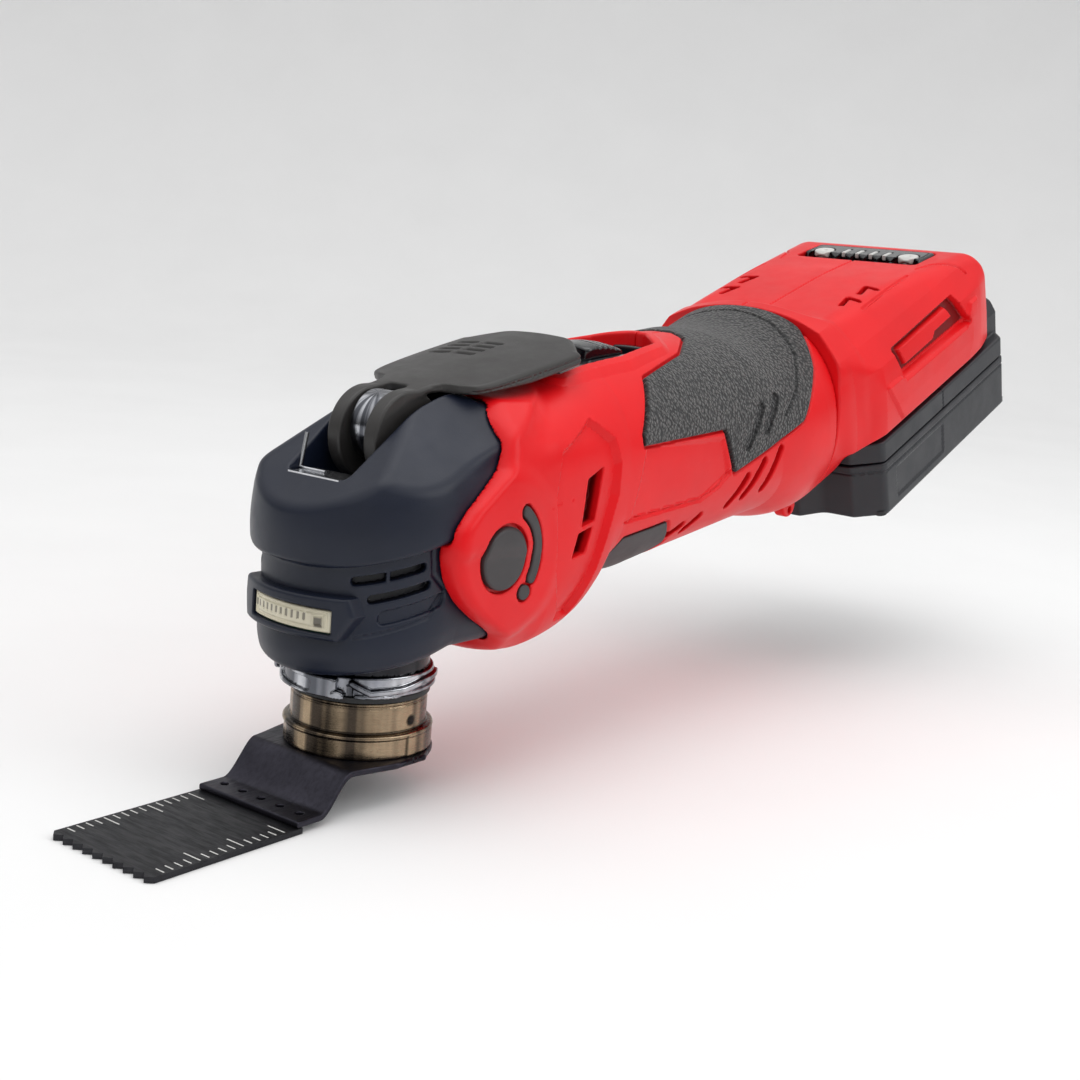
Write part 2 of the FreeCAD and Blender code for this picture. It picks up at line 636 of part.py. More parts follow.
def make_inserts():
    left_cap, left_arc, left_dot = inserts(1, 0)
    right_cap, right_arc, right_dot = inserts(-1, 0)
    node("ear_caps", group(left_cap, right_cap))
    node("ear_marks", group(left_arc, left_dot, right_arc, right_dot))


def make_switch():
    frame = cut(block(48, 25, 5.8, (66, -12.5, 87)),
                block(42, 19, 8, (69, -9.5, 88.4)),
                block(24, 6.4, 8, (74.5, -3.2, 84)))
    node("switch_frame", frame)
    button = cut(block(20, 18, 6.2, (71, -9, 89.0)),
                 block(30, 8, 10, (68, -4, 96), FreeCAD.Rotation(V(0, 1, 0), 25)))
    node("switch_slider", fuse(button, block(8, 5.2, 6.2, (77, -2.6, 83.2))))
    node("switch_module", block(31, 17, 9.5, (74, -8.5, 73.2)))
    board = fuse(block(36, 40, 1.6, (113, -20, 66)), block(14, 14, 9, (118, -7, 67.6)))
    sink = block(30, 34, 3.4, (116, -17, 62.5))
    node("control_board", group(board, sink))
    leads = [lead(1.3, [(105.3, y, 78), (121, y * 2.2, 80.5), (146, y * 2.2, 80.5),
                        (160, y * 1.2, 84)]) for y in (-5, 5)]
    node("motor_leads", group(*leads))


def lead(radius, points):
    """A wire of straight runs with ball corners."""
    pieces = []
    for start, end in zip(points, points[1:]):
        run = V(*end) - V(*start)
        pieces.append(rod(radius, run.Length, start, FreeCAD.Rotation(V(0, 0, 1), run)))
    for corner in points[1:-1]:
        ball = doc.addObject("Part::Sphere", "ball")
        ball.Radius = radius
        ball.Placement.Base = V(*corner)
        pieces.append(ball)
    return fuse(*pieces)


# ---------------------------------------------------------------- rear housing

def make_rear():
    shell = form(REAR_FORM, 0, True)
    inner = list(REAR_FORM)
    inner[-1] = (REAR_FORM[-1][0] - D["rear_wall"],) + REAR_FORM[-1][1:]
    inner[0] = (REAR_FORM[0][0] - 1,) + REAR_FORM[0][1:]
    hollow = form(inner, D["rear_wall"], True)
    channel = block(100, 60, 9.5, (194, -30, -6.5))
    panel_turn = FreeCAD.Rotation(V(0, 1, 0), 7)
    recess = block(17.4, 43.4, 22, (254.6, -21.7, 18.7), panel_turn)
    node("rear_housing", cut(shell, hollow, channel, recess), REAR)
    at = (255.8, -21.5, 26.7)
    frame = block(17, 43, 2.0, at, panel_turn)
    holes = [rod(3.7, 8, (263.5, y, 22), panel_turn) for y in (-15.5, 15.5)]
    slots = [block(6, 1.8, 8, (261.1, y - 0.9, 22), panel_turn) for y in (-7.5, -2.5, 2.5, 7.5)]
    node("panel_frame", cut(frame, *holes, *slots), REAR)
    bars = [block(5.8, 1.6, 1.3, (261.7, y - 0.8, 26.3), panel_turn)
            for y in (-7.5, -2.5, 2.5, 7.5)]
    node("light_bars", group(*bars), REAR)
    for name, y in (("panel_button_left", 15.5), ("panel_button_right", -15.5)):
        node(name, rod(3.5, 3.1, (263.9, y, 25.2), panel_turn), REAR)
    node("panel_board", block(17, 40, 1.2, (254.6, -20, 22.2), panel_turn), REAR)
    rails = []
    for side in (1, -1):
        lip = block(84, 6, 1.6, (198, 23.6 if side > 0 else -29.6, -5.1))
        web = block(84, 3, 6.0, (198, 26.6 if side > 0 else -29.6, -5.1))
        rails.append(fuse(lip, web))
    node("battery_rails", group(*rails), REAR)
    node("terminal_block", block(22, 36, 7.0, (200, -18, -4.6)), REAR)
    blades = [block(16, 0.8, 3.0, (222, y - 0.4, -3.2)) for y in (-13, -5, 5, 13)]
    node("contact_blades", group(*blades), REAR)
    lug = fuse(rod(4.6, 3.6, (171.5, -17.8, -21.8), AXIS_Y),
               block(9.2, 3.6, 6, (166.9, -17.8, -21.8)))
    lug = cut(lug, rod(1.6, 9, (171.5, -20, -22.6), AXIS_Y), form(NECK, 0.1, False))
    node("lanyard_lug", lug, REAR)


# The barrel's last stretch, in the rear frame, for pieces that sit against it.
NECK = [
    (160.0, 8.4, 32.2, 30.8, 2.2, 0.0),
    (168.0, 8.2, 32.6, 30.9, 2.2, 0.0),
    (176.0, 8.0, 33.0, 31.0, 2.2, 0.0),
]


# ---------------------------------------------------------------- battery

def pack_plan(inset):
    front = D["pack_front"] + inset
    nose = D["pack_nose"] + inset
    rear = D["pack_rear"] - inset
    half = D["pack_half"] - inset
    return [(nose, -14), (front - 0.6, -half + 3.5), (front + 3, -half), (rear - 5, -half),
            (rear, -half + 5), (rear, half - 5), (rear - 5, half), (front + 3, half),
            (front - 0.6, half - 3.5), (nose, 14)]


def slab(name, inset, low, high):
    """A slab with the battery's outline between two levels of the rear frame."""
    body = pad_profile(name, "XY_Plane", pack_plan(inset), high - low)
    body.Placement = FreeCAD.Placement(V(0, 0, (low + high) / 2), AXIS_Z)
    return body


def make_battery():
    wall = D["pack_wall"]
    corners = [(u, y) for u in (197.6, 287.8) for y in (-35.4, 35.4)]
    posts = [rod(2.5, 17.6, (u, y, -31.4)) for u, y in corners]
    bores = [rod(1.15, 30, (u, y, -34)) for u, y in corners]
    bores += [rod(2.1, 4, (u, y, -34)) for u, y in corners]
    lower = cut(slab("pack_lower", 0, D["pack_low"], D["pack_split"]),
                slab("pack_lower_room", wall, D["pack_low"] + wall, D["pack_split"] + 1))
    node("battery_lower_case", cut(fuse(lower, *posts), *bores), REAR)
    top = slab("pack_upper", 0, D["pack_split"] + 0.05, D["pack_top"])
    room = slab("pack_upper_room", wall, D["pack_split"] - 1, D["pack_top"] - 2.0)
    hump = block(8.5, 54, 15.6, (284.8, -27, -7.0))
    hump_room = block(5.5, 15.2, 20, (285.9, -7.6, -7.8))
    tongue_room = block(6, 15.2, 7.1, (283, -7.6, -5.2))
    rails = []
    for side in (1, -1):
        stem = block(66, 2.2, 4.4, (206, 21 if side > 0 else -23.2, -7.2))
        head = block(66, 5.2, 2.2, (206, 21 if side > 0 else -26.2, -3.1))
        rails.append(fuse(stem, head))
    socket = block(24, 34, 7.4, (224, -17, -7.2))
    slots = [block(17, 1.8, 9, (223.5, y - 0.9, -4.2)) for y in (-13, -5, 5, 13)]
    upper = cut(fuse(cut(top, room), hump, socket, *rails), hump_room, tongue_room, *slots)
    node("battery_upper_case", upper, REAR)
    cells = []
    first = D["pack_front"] + wall + D["cell_rad"] + 0.6
    for index in range(5):
        u = first + index * (2 * D["cell_rad"] + 0.2)
        cells.append(rod("cell_rad", "cell_long", (u, "0 - cell_long / 2", -19.9), AXIS_Y))
    node("battery_cells", group(*cells), REAR)
    clips = [block(14, 0.4, 2.6, (225, y + 0.48, -3.9)) for y in (-13, -5, 5, 13)]
    node("cell_board", group(block(60, 50, 1.2, (200, -25, -10.4)), *clips), REAR)
    post = block(4.9, 14.4, 13.4, (286.2, -7.2, -4.2))
    tongue = block(4.6, 14.4, 3.0, (282.0, -7.2, -1.6))
    node("battery_latch", fuse(post, tongue), REAR)
    screws = [fuse(rod(2.0, 1.5, (u, y, -31.6)), rod(1.05, 15, (u, y, -30.2))) for u, y in corners]
    node("battery_screws", group(*screws), REAR)


def check_and_write():
    doc.recompute()
    failed = [item for item in doc.Objects if {"Invalid", "Error"} & set(item.State)]
    for item in failed:
        print("failed:", item.Name, item.Label, item.State, [other.Name for other in item.OutList])
    if failed:
        raise RuntimeError("%d objects failed" % len(failed))
    os.makedirs("parts", exist_ok=True)
    for item in NODES:
        shape = item.Shape
        if shape.isNull() or not shape.isValid() or not shape.Solids:
            raise RuntimeError("%s is not a valid solid" % item.Label)
        shape.exportStep("parts/%s.step" % item.Label)
        print("%-22s %2d solids %10.1f mm3" % (item.Label, len(shape.Solids), shape.Volume))


make_blade()
make_hub()
make_spindle()
make_clamp()
make_gear_case()
make_head()
make_light()
make_lever()
make_motor()
make_barrel()
make_inserts()
make_switch()
make_rear()
make_battery()
check_and_write()
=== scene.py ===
import math
from concurrent.futures import ThreadPoolExecutor

import bpy
import numpy as np
from mathutils import Matrix, Vector


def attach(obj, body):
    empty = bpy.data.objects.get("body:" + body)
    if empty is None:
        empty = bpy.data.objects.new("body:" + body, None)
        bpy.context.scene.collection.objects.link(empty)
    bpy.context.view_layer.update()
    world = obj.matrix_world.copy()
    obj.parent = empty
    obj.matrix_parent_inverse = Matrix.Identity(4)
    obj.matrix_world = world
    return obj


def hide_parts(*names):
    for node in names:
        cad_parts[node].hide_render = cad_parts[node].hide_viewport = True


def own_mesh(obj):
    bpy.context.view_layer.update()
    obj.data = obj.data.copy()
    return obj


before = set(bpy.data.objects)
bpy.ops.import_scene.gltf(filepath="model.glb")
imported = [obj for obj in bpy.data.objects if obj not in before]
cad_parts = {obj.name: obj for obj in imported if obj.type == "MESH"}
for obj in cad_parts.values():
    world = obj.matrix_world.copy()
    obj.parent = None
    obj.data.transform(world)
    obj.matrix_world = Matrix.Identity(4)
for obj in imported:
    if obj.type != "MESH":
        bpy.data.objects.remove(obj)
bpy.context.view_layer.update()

# Shapes are signed distance fields in millimetres, meshed on a grid and then snapped to the
# exact surface.  Row frame: origin on the spindle at the blade plate's top, +Z up the
# spindle, +X rearwards, -Y the side with the ear and vents in view.

PITCH = math.radians(21.4)
CP, SP = math.cos(PITCH), math.sin(PITCH)
GRID = 1.0
POOL = ThreadPoolExecutor(4)


def rear(x, z):
    """Row frame to the pitched rear frame: u along the battery, w square to it."""
    return x * CP + z * SP, z * CP - x * SP


# ---------------------------------------------------------------- field helpers

def spline(*knots):
    """A smooth curve through the knots that doesn't overshoot them."""
    at, value = np.array(knots, float).T
    run = np.diff(at)
    rise = np.diff(value) / run
    slope = np.zeros(len(at))
    for i in range(1, len(at) - 1):
        if rise[i - 1] * rise[i] > 0:
            slope[i] = 2 * rise[i - 1] * rise[i] / (rise[i - 1] + rise[i])
    slope[0], slope[-1] = rise[0], rise[-1]

    def read(t):
        t = np.clip(t, at[0], at[-1])
        i = np.clip(np.searchsorted(at, t) - 1, 0, len(run) - 1)
        s = (t - at[i]) / run[i]
        a, b = value[i], value[i + 1]
        ma, mb = slope[i] * run[i], slope[i + 1] * run[i]
        return a + s * (ma + s * (3 * (b - a) - 2 * ma - mb + s * (ma + mb - 2 * (b - a))))
    return read


def join(a, b, k):
    """Union with a fillet of about k."""
    h = np.maximum(k - np.abs(a - b), 0) / k
    return np.minimum(a, b) - h * h * k * 0.25


def keep(a, b, k=0.6):
    """Intersection with a rounded edge of about k."""
    return -join(-a, -b, k)


def carve(a, b, k=0.6):
    """a with b taken out, its edges rounded by about k."""
    return -join(-a, b, k)


def oval(a, b, ra, rb, power):
    g = ((np.abs(a) / ra) ** power + (np.abs(b) / rb) ** power) ** (1 / power)
    return (g - 1) * np.minimum(ra, rb)


def brick(x, y, z, at, half, r=0.5):
    """A rounded block about a centre."""
    q = [np.abs(v - c) - h + r for v, c, h in zip((x, y, z), at, half)]
    out = np.sqrt(sum(np.maximum(v, 0) ** 2 for v in q))
    return out + np.minimum(np.maximum(np.maximum(q[0], q[1]), q[2]), 0) - r


def polygon(u, v, corners, r=0.0):
    """Signed distance to a closed outline, grown by r."""
    best = np.full(u.shape, 1e9)
    inside = np.zeros(u.shape, bool)
    for (ax, ay), (bx, by) in zip(corners, corners[1:] + corners[:1]):
        ex, ey = bx - ax, by - ay
        wx, wy = u - ax, v - ay
        t = np.clip((wx * ex + wy * ey) / (ex * ex + ey * ey), 0, 1)
        best = np.minimum(best, (wx - ex * t) ** 2 + (wy - ey * t) ** 2)
        if by != ay:
            inside ^= ((ay > v) != (by > v)) & (u < ax + (v - ay) * ex / (by - ay))
    return np.where(inside, -1, 1) * np.sqrt(best) - r


def line_gap(u, v, points):
    """Distance to an open line through the points."""
    best = np.full(u.shape, 1e9)
    for (ax, ay), (bx, by) in zip(points, points[1:]):
        ex, ey = bx - ax, by - ay
        t = np.clip(((u - ax) * ex + (v - ay) * ey) / (ex * ex + ey * ey), 0, 1)
        best = np.minimum(best, (u - ax - ex * t) ** 2 + (v - ay - ey * t) ** 2)
    return np.sqrt(best)


def groove(gap, wide, deep):
    """How far a soft-edged groove lowers a surface, from the distance to its middle."""
    return deep * np.exp(-(gap / (0.5 * wide)) ** 4)


# ---------------------------------------------------------------- meshing

def sample(field, points):
    """Evaluate a field over many points, on all cores."""
    parts = np.array_split(points, max(1, len(points) // 60000))
    return np.concatenate(list(POOL.map(lambda p: field(p[:, 0], p[:, 1], p[:, 2]), parts)))


def slope_of(field, points):
    """A field's value, unit slope and steepness, from four samples about each point."""
    gap = 0.04
    ends = np.array([(1, -1, -1), (-1, -1, 1), (-1, 1, -1), (1, 1, 1)], float) * gap
    values = [sample(field, points + e) for e in ends]
    slope = sum(v[:, None] * e for v, e in zip(values, ends)) / (4 * gap * gap)
    size = np.maximum(np.linalg.norm(slope, axis=1), 1e-6)
    return sum(values) / 4, slope / size[:, None], size


def surface(field, low, high, step):
    """Quads over the zero level of a field, by surface nets on blocks near the surface."""
    step *= GRID
    side = 8
    low = np.array(low, float) - 1.5 * step
    blocks = np.ceil((np.array(high) + 1.5 * step - low) / (side * step)).astype(int)
    middle = np.stack(np.meshgrid(*[np.arange(b) for b in blocks], indexing="ij"), -1)
    middle = middle.reshape(-1, 3)
    centre = low + (middle + 0.5) * side * step
    coarse = sample(field, centre)
    near = np.abs(coarse) < side * step * 1.25
    size = blocks * side + 1
    grid = np.ones(size, np.float32)
    for i, j, k in middle[~near & (coarse < 0)] * side:
        grid[i:i + side, j:j + side, k:k + side] = -1
    local = np.stack(np.meshgrid(*[np.arange(side)] * 3, indexing="ij"), -1).reshape(-1, 3)
    for batch in np.array_split(middle[near], max(1, near.sum() // 1500)):
        cell = (batch[:, None] * side + local).reshape(-1, 3)
        grid[tuple(cell.T)] = sample(field, low + cell * step)
    grid[-1] = grid[:, -1] = grid[:, :, -1] = 1
    grid[0] = grid[:, 0] = grid[:, :, 0] = 1
    solid = grid < 0
    count = sum(solid[i:i + size[0] - 1, j:j + size[1] - 1, k:k + size[2] - 1].astype(np.uint8)
                for i in (0, 1) for j in (0, 1) for k in (0, 1))
    cells = np.argwhere((count > 0) & (count < 8))
    number = np.full(count.shape, -1, np.int32)
    number[tuple(cells.T)] = np.arange(len(cells))
    total, hits = np.zeros((len(cells), 3)), np.zeros(len(cells))
    for axis in range(3):
        for a in (0, 1):
            for b in (0, 1):
                first = np.insert([a, b], axis, 0)
                va = grid[tuple((cells + first).T)]
                vb = grid[tuple((cells + first + np.eye(3, dtype=int)[axis]).T)]
                cross = (va < 0) != (vb < 0)
                t = np.where(cross, va / np.where(cross, va - vb, 1), 0)
                spot = first + np.eye(3)[axis] * t[:, None]
                total += spot * cross[:, None]
                hits += cross
    points = low + (cells + total / hits[:, None]) * step
    faces = []
    for axis in range(3):
        one, two = [e for e in range(3) if e != axis]
        span = [slice(1, n - 1) for n in size]
        span[axis] = slice(0, size[axis] - 1)
        after = list(span)
        after[axis] = slice(1, size[axis])
        edge = solid[tuple(span)] != solid[tuple(after)]
        at = np.argwhere(edge) + np.array([s.start for s in span])
        e1, e2 = np.eye(3, dtype=int)[one], np.eye(3, dtype=int)[two]
        ring = [number[tuple((at - d).T)] for d in (0 * e1, e1, e1 + e2, e2)]
        faces.append(np.stack(ring, 1))
    faces = np.concatenate(faces)
    for _ in range(3):
        value, normal, size_of = slope_of(field, points)
        shift = np.clip(value / size_of, -0.5 * step, 0.5 * step)
        points = points - normal * shift[:, None]
    normals = slope_of(field, points)[1]
    corner = points[faces]
    turn = np.cross(corner[:, 2] - corner[:, 0], corner[:, 3] - corner[:, 1])
    inward = np.einsum("ij,ij->i", turn, normals[faces].sum(1)) < 0
    faces[inward] = faces[inward, ::-1]
    return points, faces, normals


def body(name, field, low, high, step, paint, rides="root", stands_for=(), tone=None):
    """Mesh a field as a piece of the tool, riding on one body of the mechanism."""
    points, faces, normals = surface(field, low, high, step)
    mesh = bpy.data.meshes.new(name)
    mesh.vertices.add(len(points))
    mesh.vertices.foreach_set("co", (points / 1000).astype(np.float32).ravel())
    mesh.loops.add(faces.size)
    mesh.loops.foreach_set("vertex_index", faces.ravel().astype(np.int32))
    mesh.polygons.add(len(faces))
    mesh.polygons.foreach_set("loop_start", np.arange(0, faces.size, 4, dtype=np.int32))
    mesh.update()
    mesh.validate()
    mesh.polygons.foreach_set("use_smooth", np.ones(len(mesh.polygons), bool))
    mesh.normals_split_custom_set_from_vertices(normals.astype(np.float32))
    # The tone attribute holds how far each point is darkened, mostly painted shade in pockets,
    # slots and grooves.
    if tone:
        shade = mesh.attributes.new("tone", "FLOAT", "POINT")
        shade.data.foreach_set("value", sample(tone, points).astype(np.float32))
    item = bpy.data.objects.new(name, mesh)
    bpy.context.scene.collection.objects.link(item)
    item.data.materials.append(paint)
    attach(item, rides)
    if stands_for:
        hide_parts(*stands_for)


def no_tone(x, y, z):
    """A piece with no painted shade."""
    return 0 * x


def bearing(x, y):
    """Degrees round the spindle from straight ahead, towards the side in view."""
    return np.degrees(np.arctan2(-y, -x))


# ---------------------------------------------------------------- materials

def node(tree, kind, **values):
    """Add a shader node; keys name its properties, or its inputs when capitalised."""
    item = tree.nodes.new(kind)
    for key, value in values.items():
        if key in item.bl_rna.properties:
            setattr(item, key, value)
        else:
            item.inputs[key.replace("_", " ")].default_value = value
    return item


def place_of(tree, stretch=(1, 1, 1)):
    """Coordinates fixed to the piece, in millimetres, stretched along each axis."""
    spot = node(tree, "ShaderNodeTexCoord")
    scale = node(tree, "ShaderNodeMapping")
    scale.inputs["Scale"].default_value = [1000 * s for s in stretch]
    tree.links.new(spot.outputs["Object"], scale.inputs["Vector"])
    return scale.outputs["Vector"]


def noise(tree, where, scale, detail=3.0, rough=0.55):
    item = node(tree, "ShaderNodeTexNoise", Scale=scale, Detail=detail, Roughness=rough)
    tree.links.new(where, item.inputs["Vector"])
    return item.outputs["Fac"]


def ramp(tree, source, low, high, start=0.3, end=0.7):
    item = node(tree, "ShaderNodeMapRange", clamp=True)
    for name, value in (("From Min", start), ("From Max", end), ("To Min", low), ("To Max", high)):
        item.inputs[name].default_value = value
    tree.links.new(source, item.inputs["Value"])
    return item.outputs["Result"]


def mixed(tree, factor, a, b):
    """A colour between a and b; each is a colour or a socket."""
    item = node(tree, "ShaderNodeMix", data_type="RGBA")
    for key, value in ((0, factor), (6, a), (7, b)):
        if hasattr(value, "is_linked"):
            tree.links.new(value, item.inputs[key])
        elif key:
            item.inputs[key].default_value = (*value, 1)
        else:
            item.inputs[key].default_value = value
    return item.outputs[2]


def bump(tree, height, depth, normal=None):
    """Relief of a height, depth in millimetres."""
    item = node(tree, "ShaderNodeBump", Strength=1.0, Distance=depth / 1000)
    tree.links.new(height, item.inputs["Height"])
    if normal:
        tree.links.new(normal, item.inputs["Normal"])
    return item.outputs["Normal"]


def finish_of(name, colour, rough, metallic=0.0, coat=0.0, sheen=0.0):
    """A material with its tree emptied to one Principled shader."""
    made = bpy.data.materials.new(name)
    made.use_nodes = True
    made.diffuse_color = (*colour, 1)
    made.roughness = rough
    made.metallic = metallic
    tree = made.node_tree
    shader = tree.nodes["Principled BSDF"]
    for key, value in (("Base Color", (*colour, 1)), ("Roughness", rough), ("Metallic", metallic),
                       ("Coat Weight", coat), ("Coat Roughness", 0.12), ("Sheen Weight", sheen)):
        shader.inputs[key].default_value = value
    return made, tree, shader


def plastic(name, colour, rough, grain=0.02, coat=0.0, dark=None, spread=0.12, gloss=0.5):
    """Moulded plastic: fine spark-eroded grain, faint handling marks, and painted shade that
    darkens its pockets.
    """
    made, tree, shader = finish_of(name, colour, rough, coat=coat)
    shader.inputs["Specular IOR Level"].default_value = gloss
    where = place_of(tree)
    cloud = noise(tree, where, 0.035, 4.0)
    soft = tuple(c * (1 - spread) for c in colour)
    tint = mixed(tree, ramp(tree, cloud, 0, 1), colour, soft)
    # Painted shade: where the tone attribute is set, the colour is blended towards the dark colour,
    # darkening the shaded pockets, slots and grooves.
    if dark:
        tone = node(tree, "ShaderNodeAttribute", attribute_name="tone")
        tint = mixed(tree, tone.outputs["Fac"], tint, dark)
    tree.links.new(tint, shader.inputs["Base Color"])
    smear = noise(tree, where, 0.11, 6.0, 0.65)
    tree.links.new(ramp(tree, smear, rough * 0.86, rough * 1.18), shader.inputs["Roughness"])
    fine = noise(tree, where, 2.2, 2.0)
    tree.links.new(bump(tree, fine, grain), shader.inputs["Normal"])
    return made


def leather(name, colour, pale):
    """Soft grip rubber with a pebbled, leather-like grain whose crowns are paler than the hollows
    between them.
    """
    made, tree, shader = finish_of(name, colour, 0.72, sheen=0.25)
    where = place_of(tree)
    wander = noise(tree, where, 0.5, 2.0)
    bend = node(tree, "ShaderNodeVectorMath", operation="MULTIPLY_ADD")
    tree.links.new(wander, bend.inputs[0])
    bend.inputs[1].default_value = (1.2, 1.2, 1.2)
    tree.links.new(where, bend.inputs[2])
    cell = node(tree, "ShaderNodeTexVoronoi", feature="SMOOTH_F1", Scale=1.15, Randomness=1.0)
    cell.inputs["Smoothness"].default_value = 0.5
    tree.links.new(bend.outputs[0], cell.inputs["Vector"])
    crown = ramp(tree, cell.outputs["Distance"], 1.0, 0.0, 0.1, 0.75)
    tint = mixed(tree, ramp(tree, crown, 0, 1, 0.25, 0.85), colour, pale)
    # Painted shade: the tone attribute darkens the rubber nearly to black in the grip's slots,
    # groove and edge.
    tone = node(tree, "ShaderNodeAttribute", attribute_name="tone")
    tint = mixed(tree, tone.outputs["Fac"], tint, (0.004, 0.004, 0.005))
    tree.links.new(tint, shader.inputs["Base Color"])
    tree.links.new(ramp(tree, crown, 0.85, 0.55, 0, 1), shader.inputs["Roughness"])
    rough = bump(tree, noise(tree, where, 3.0, 3.0), 0.05)
    tree.links.new(bump(tree, crown, 0.35, rough), shader.inputs["Normal"])
    return made


def metal(name, colour, rough, stretch=(1, 1, 1), scale=0.6, marks=0.012, other=None,
          reflection_bands=None, dark=None):
    """Machined or rolled metal: directional fine lines, and painted reflection bands standing
    upright round a turned part.
    """
    made, tree, shader = finish_of(name, colour, rough, metallic=1.0)
    where = place_of(tree, stretch)
    lines = noise(tree, where, scale, 6.0, 0.7)
    cloud = noise(tree, place_of(tree), 0.12, 3.0)
    tint = mixed(tree, ramp(tree, cloud, 0, 1), colour, other or tuple(c * 0.72 for c in colour))
    tint = mixed(tree, ramp(tree, lines, 0, 0.35, 0.45, 0.75), tint, tuple(c * 0.5 for c in colour))
    if reflection_bands:
        # Painted reflection: dark upright bands by angle round the spindle stand in for the studio
        # mirrored in a polished turned part.
        turn = node(tree, "ShaderNodeTexGradient", gradient_type="RADIAL")
        tree.links.new(where, turn.inputs["Vector"])
        spin = node(tree, "ShaderNodeMath", operation="MULTIPLY")
        spin.inputs[1].default_value = 9.0
        tree.links.new(turn.outputs["Fac"], spin.inputs[0])
        streak = node(tree, "ShaderNodeTexNoise", noise_dimensions="1D", Scale=1.6, Detail=2.0)
        tree.links.new(spin.outputs[0], streak.inputs["W"])
        tint = mixed(tree, ramp(tree, streak.outputs["Fac"], 0, 1, 0.42, 0.62), tint, reflection_bands)
    # Painted shade: the tone attribute blends in the dark colour on shaded hollows and creases.
    if dark:
        tone = node(tree, "ShaderNodeAttribute", attribute_name="tone")
        tint = mixed(tree, tone.outputs["Fac"], tint, dark)
    tree.links.new(tint, shader.inputs["Base Color"])
    tree.links.new(ramp(tree, lines, rough * 0.7, min(1, rough * 1.5)), shader.inputs["Roughness"])
    tree.links.new(bump(tree, lines, marks), shader.inputs["Normal"])
    return made


RED = plastic("red_shell", (0.80, 0.006, 0.010), 0.34, grain=0.010, dark=(0.05, 0.0, 0.0),
              gloss=0.26)
NAVY = plastic("navy_head", (0.008, 0.012, 0.027), 0.38, grain=0.016, dark=(0.002, 0.002, 0.004),
               spread=0.25, gloss=0.36)
PADDLE = plastic("lever_plastic", (0.030, 0.028, 0.027), 0.42, grain=0.014,
                 dark=(0.004, 0.004, 0.004))
BLACK = plastic("black_plastic", (0.012, 0.013, 0.015), 0.5)
PIANO = plastic("black_gloss", (0.006, 0.007, 0.010), 0.12, grain=0.003, coat=0.6)
PACK = plastic("pack_plastic", (0.014, 0.015, 0.020), 0.42, grain=0.02, dark=(0.003, 0.003, 0.004))
INLAY = plastic("grey_rubber", (0.040, 0.036, 0.038), 0.5, grain=0.012)
GRIP = leather("grip_rubber", (0.012, 0.012, 0.013), (0.060, 0.057, 0.055))
STEEL = metal("bright_steel", (0.72, 0.73, 0.76), 0.2, (1, 1, 0.2), 0.8)
CHROME = metal("clamp_steel", (0.66, 0.67, 0.70), 0.16, (1, 1, 0.3), 0.35, 0.03,
               other=(0.22, 0.23, 0.27), reflection_bands=(0.10, 0.105, 0.12), dark=(0.01, 0.01, 0.012))
BRONZE = metal("bronze", (0.46, 0.35, 0.23), 0.24, (0.25, 0.25, 3.0), 1.2, 0.012,
               other=(0.27, 0.20, 0.13), reflection_bands=(0.055, 0.043, 0.033), dark=(0.012, 0.010, 0.009))
PLATE = metal("blade_coating", (0.050, 0.048, 0.062), 0.40, (0.15, 1, 1), 0.9, 0.01)
TOOTHED = metal("blade_steel", (0.05, 0.05, 0.055), 0.42, (1, 0.12, 1), 1.1, 0.012)
CAST = metal("cast_alloy", (0.55, 0.56, 0.57), 0.55, scale=1.5, marks=0.03)
COPPER = metal("contact_copper", (0.80, 0.46, 0.26), 0.3)
BOARD = plastic("circuit_board", (0.02, 0.10, 0.05), 0.4)
SLEEVE = plastic("cell_wrap", (0.02, 0.08, 0.24), 0.35)
WIRE = plastic("wire_cover", (0.35, 0.01, 0.01), 0.45)
PEARL = plastic("silver_button", (0.72, 0.71, 0.68), 0.3, grain=0.006, coat=0.2)
LAMP = plastic("lens", (0.80, 0.74, 0.56), 0.25, grain=0.02, coat=0.4, spread=0.3,
               dark=(0.03, 0.025, 0.02))
WHITE = plastic("etched_mark", (0.62, 0.62, 0.60), 0.6)

# ---------------------------------------------------------------- head

BELL = spline((41, 24.2), (43.5, 25.2), (46.5, 26.8), (52, 27.1), (59, 26.6), (64, 25.6),
              (68, 24.4), (72, 22.6), (76, 20.3), (80, 17.0), (84, 11.0))
NECK = spline((17, 21.2), (19.8, 22.8), (22.5, 23.9), (26, 24.4), (34, 23.9), (42, 24.2),
              (50, 24.4))
NECK_RISE = 0.24
CAP = spline((-20, 76), (-8, 79.4), (2, 81.6), (10, 82.5), (16, 82.0), (19, 80.4), (30, 80.4))
SEAM = spline((20, 18.6), (24, 18.0), (28, 15.6), (30, 12.8), (33.3, 7.4), (38, 1.8), (44, -2.4),
              (49, -3.6), (54, -2.8), (58, 0.6), (62, 6.0), (64.5, 9.6), (67.5, 13.2), (72, 14.8),
              (77, 15.8), (80, 17.6), (84, 20.0))


def neck_level(x, z):
    """Height on the neck, whose lines rise towards the back."""
    return z - NECK_RISE * np.clip(x + 22, -6, 26)


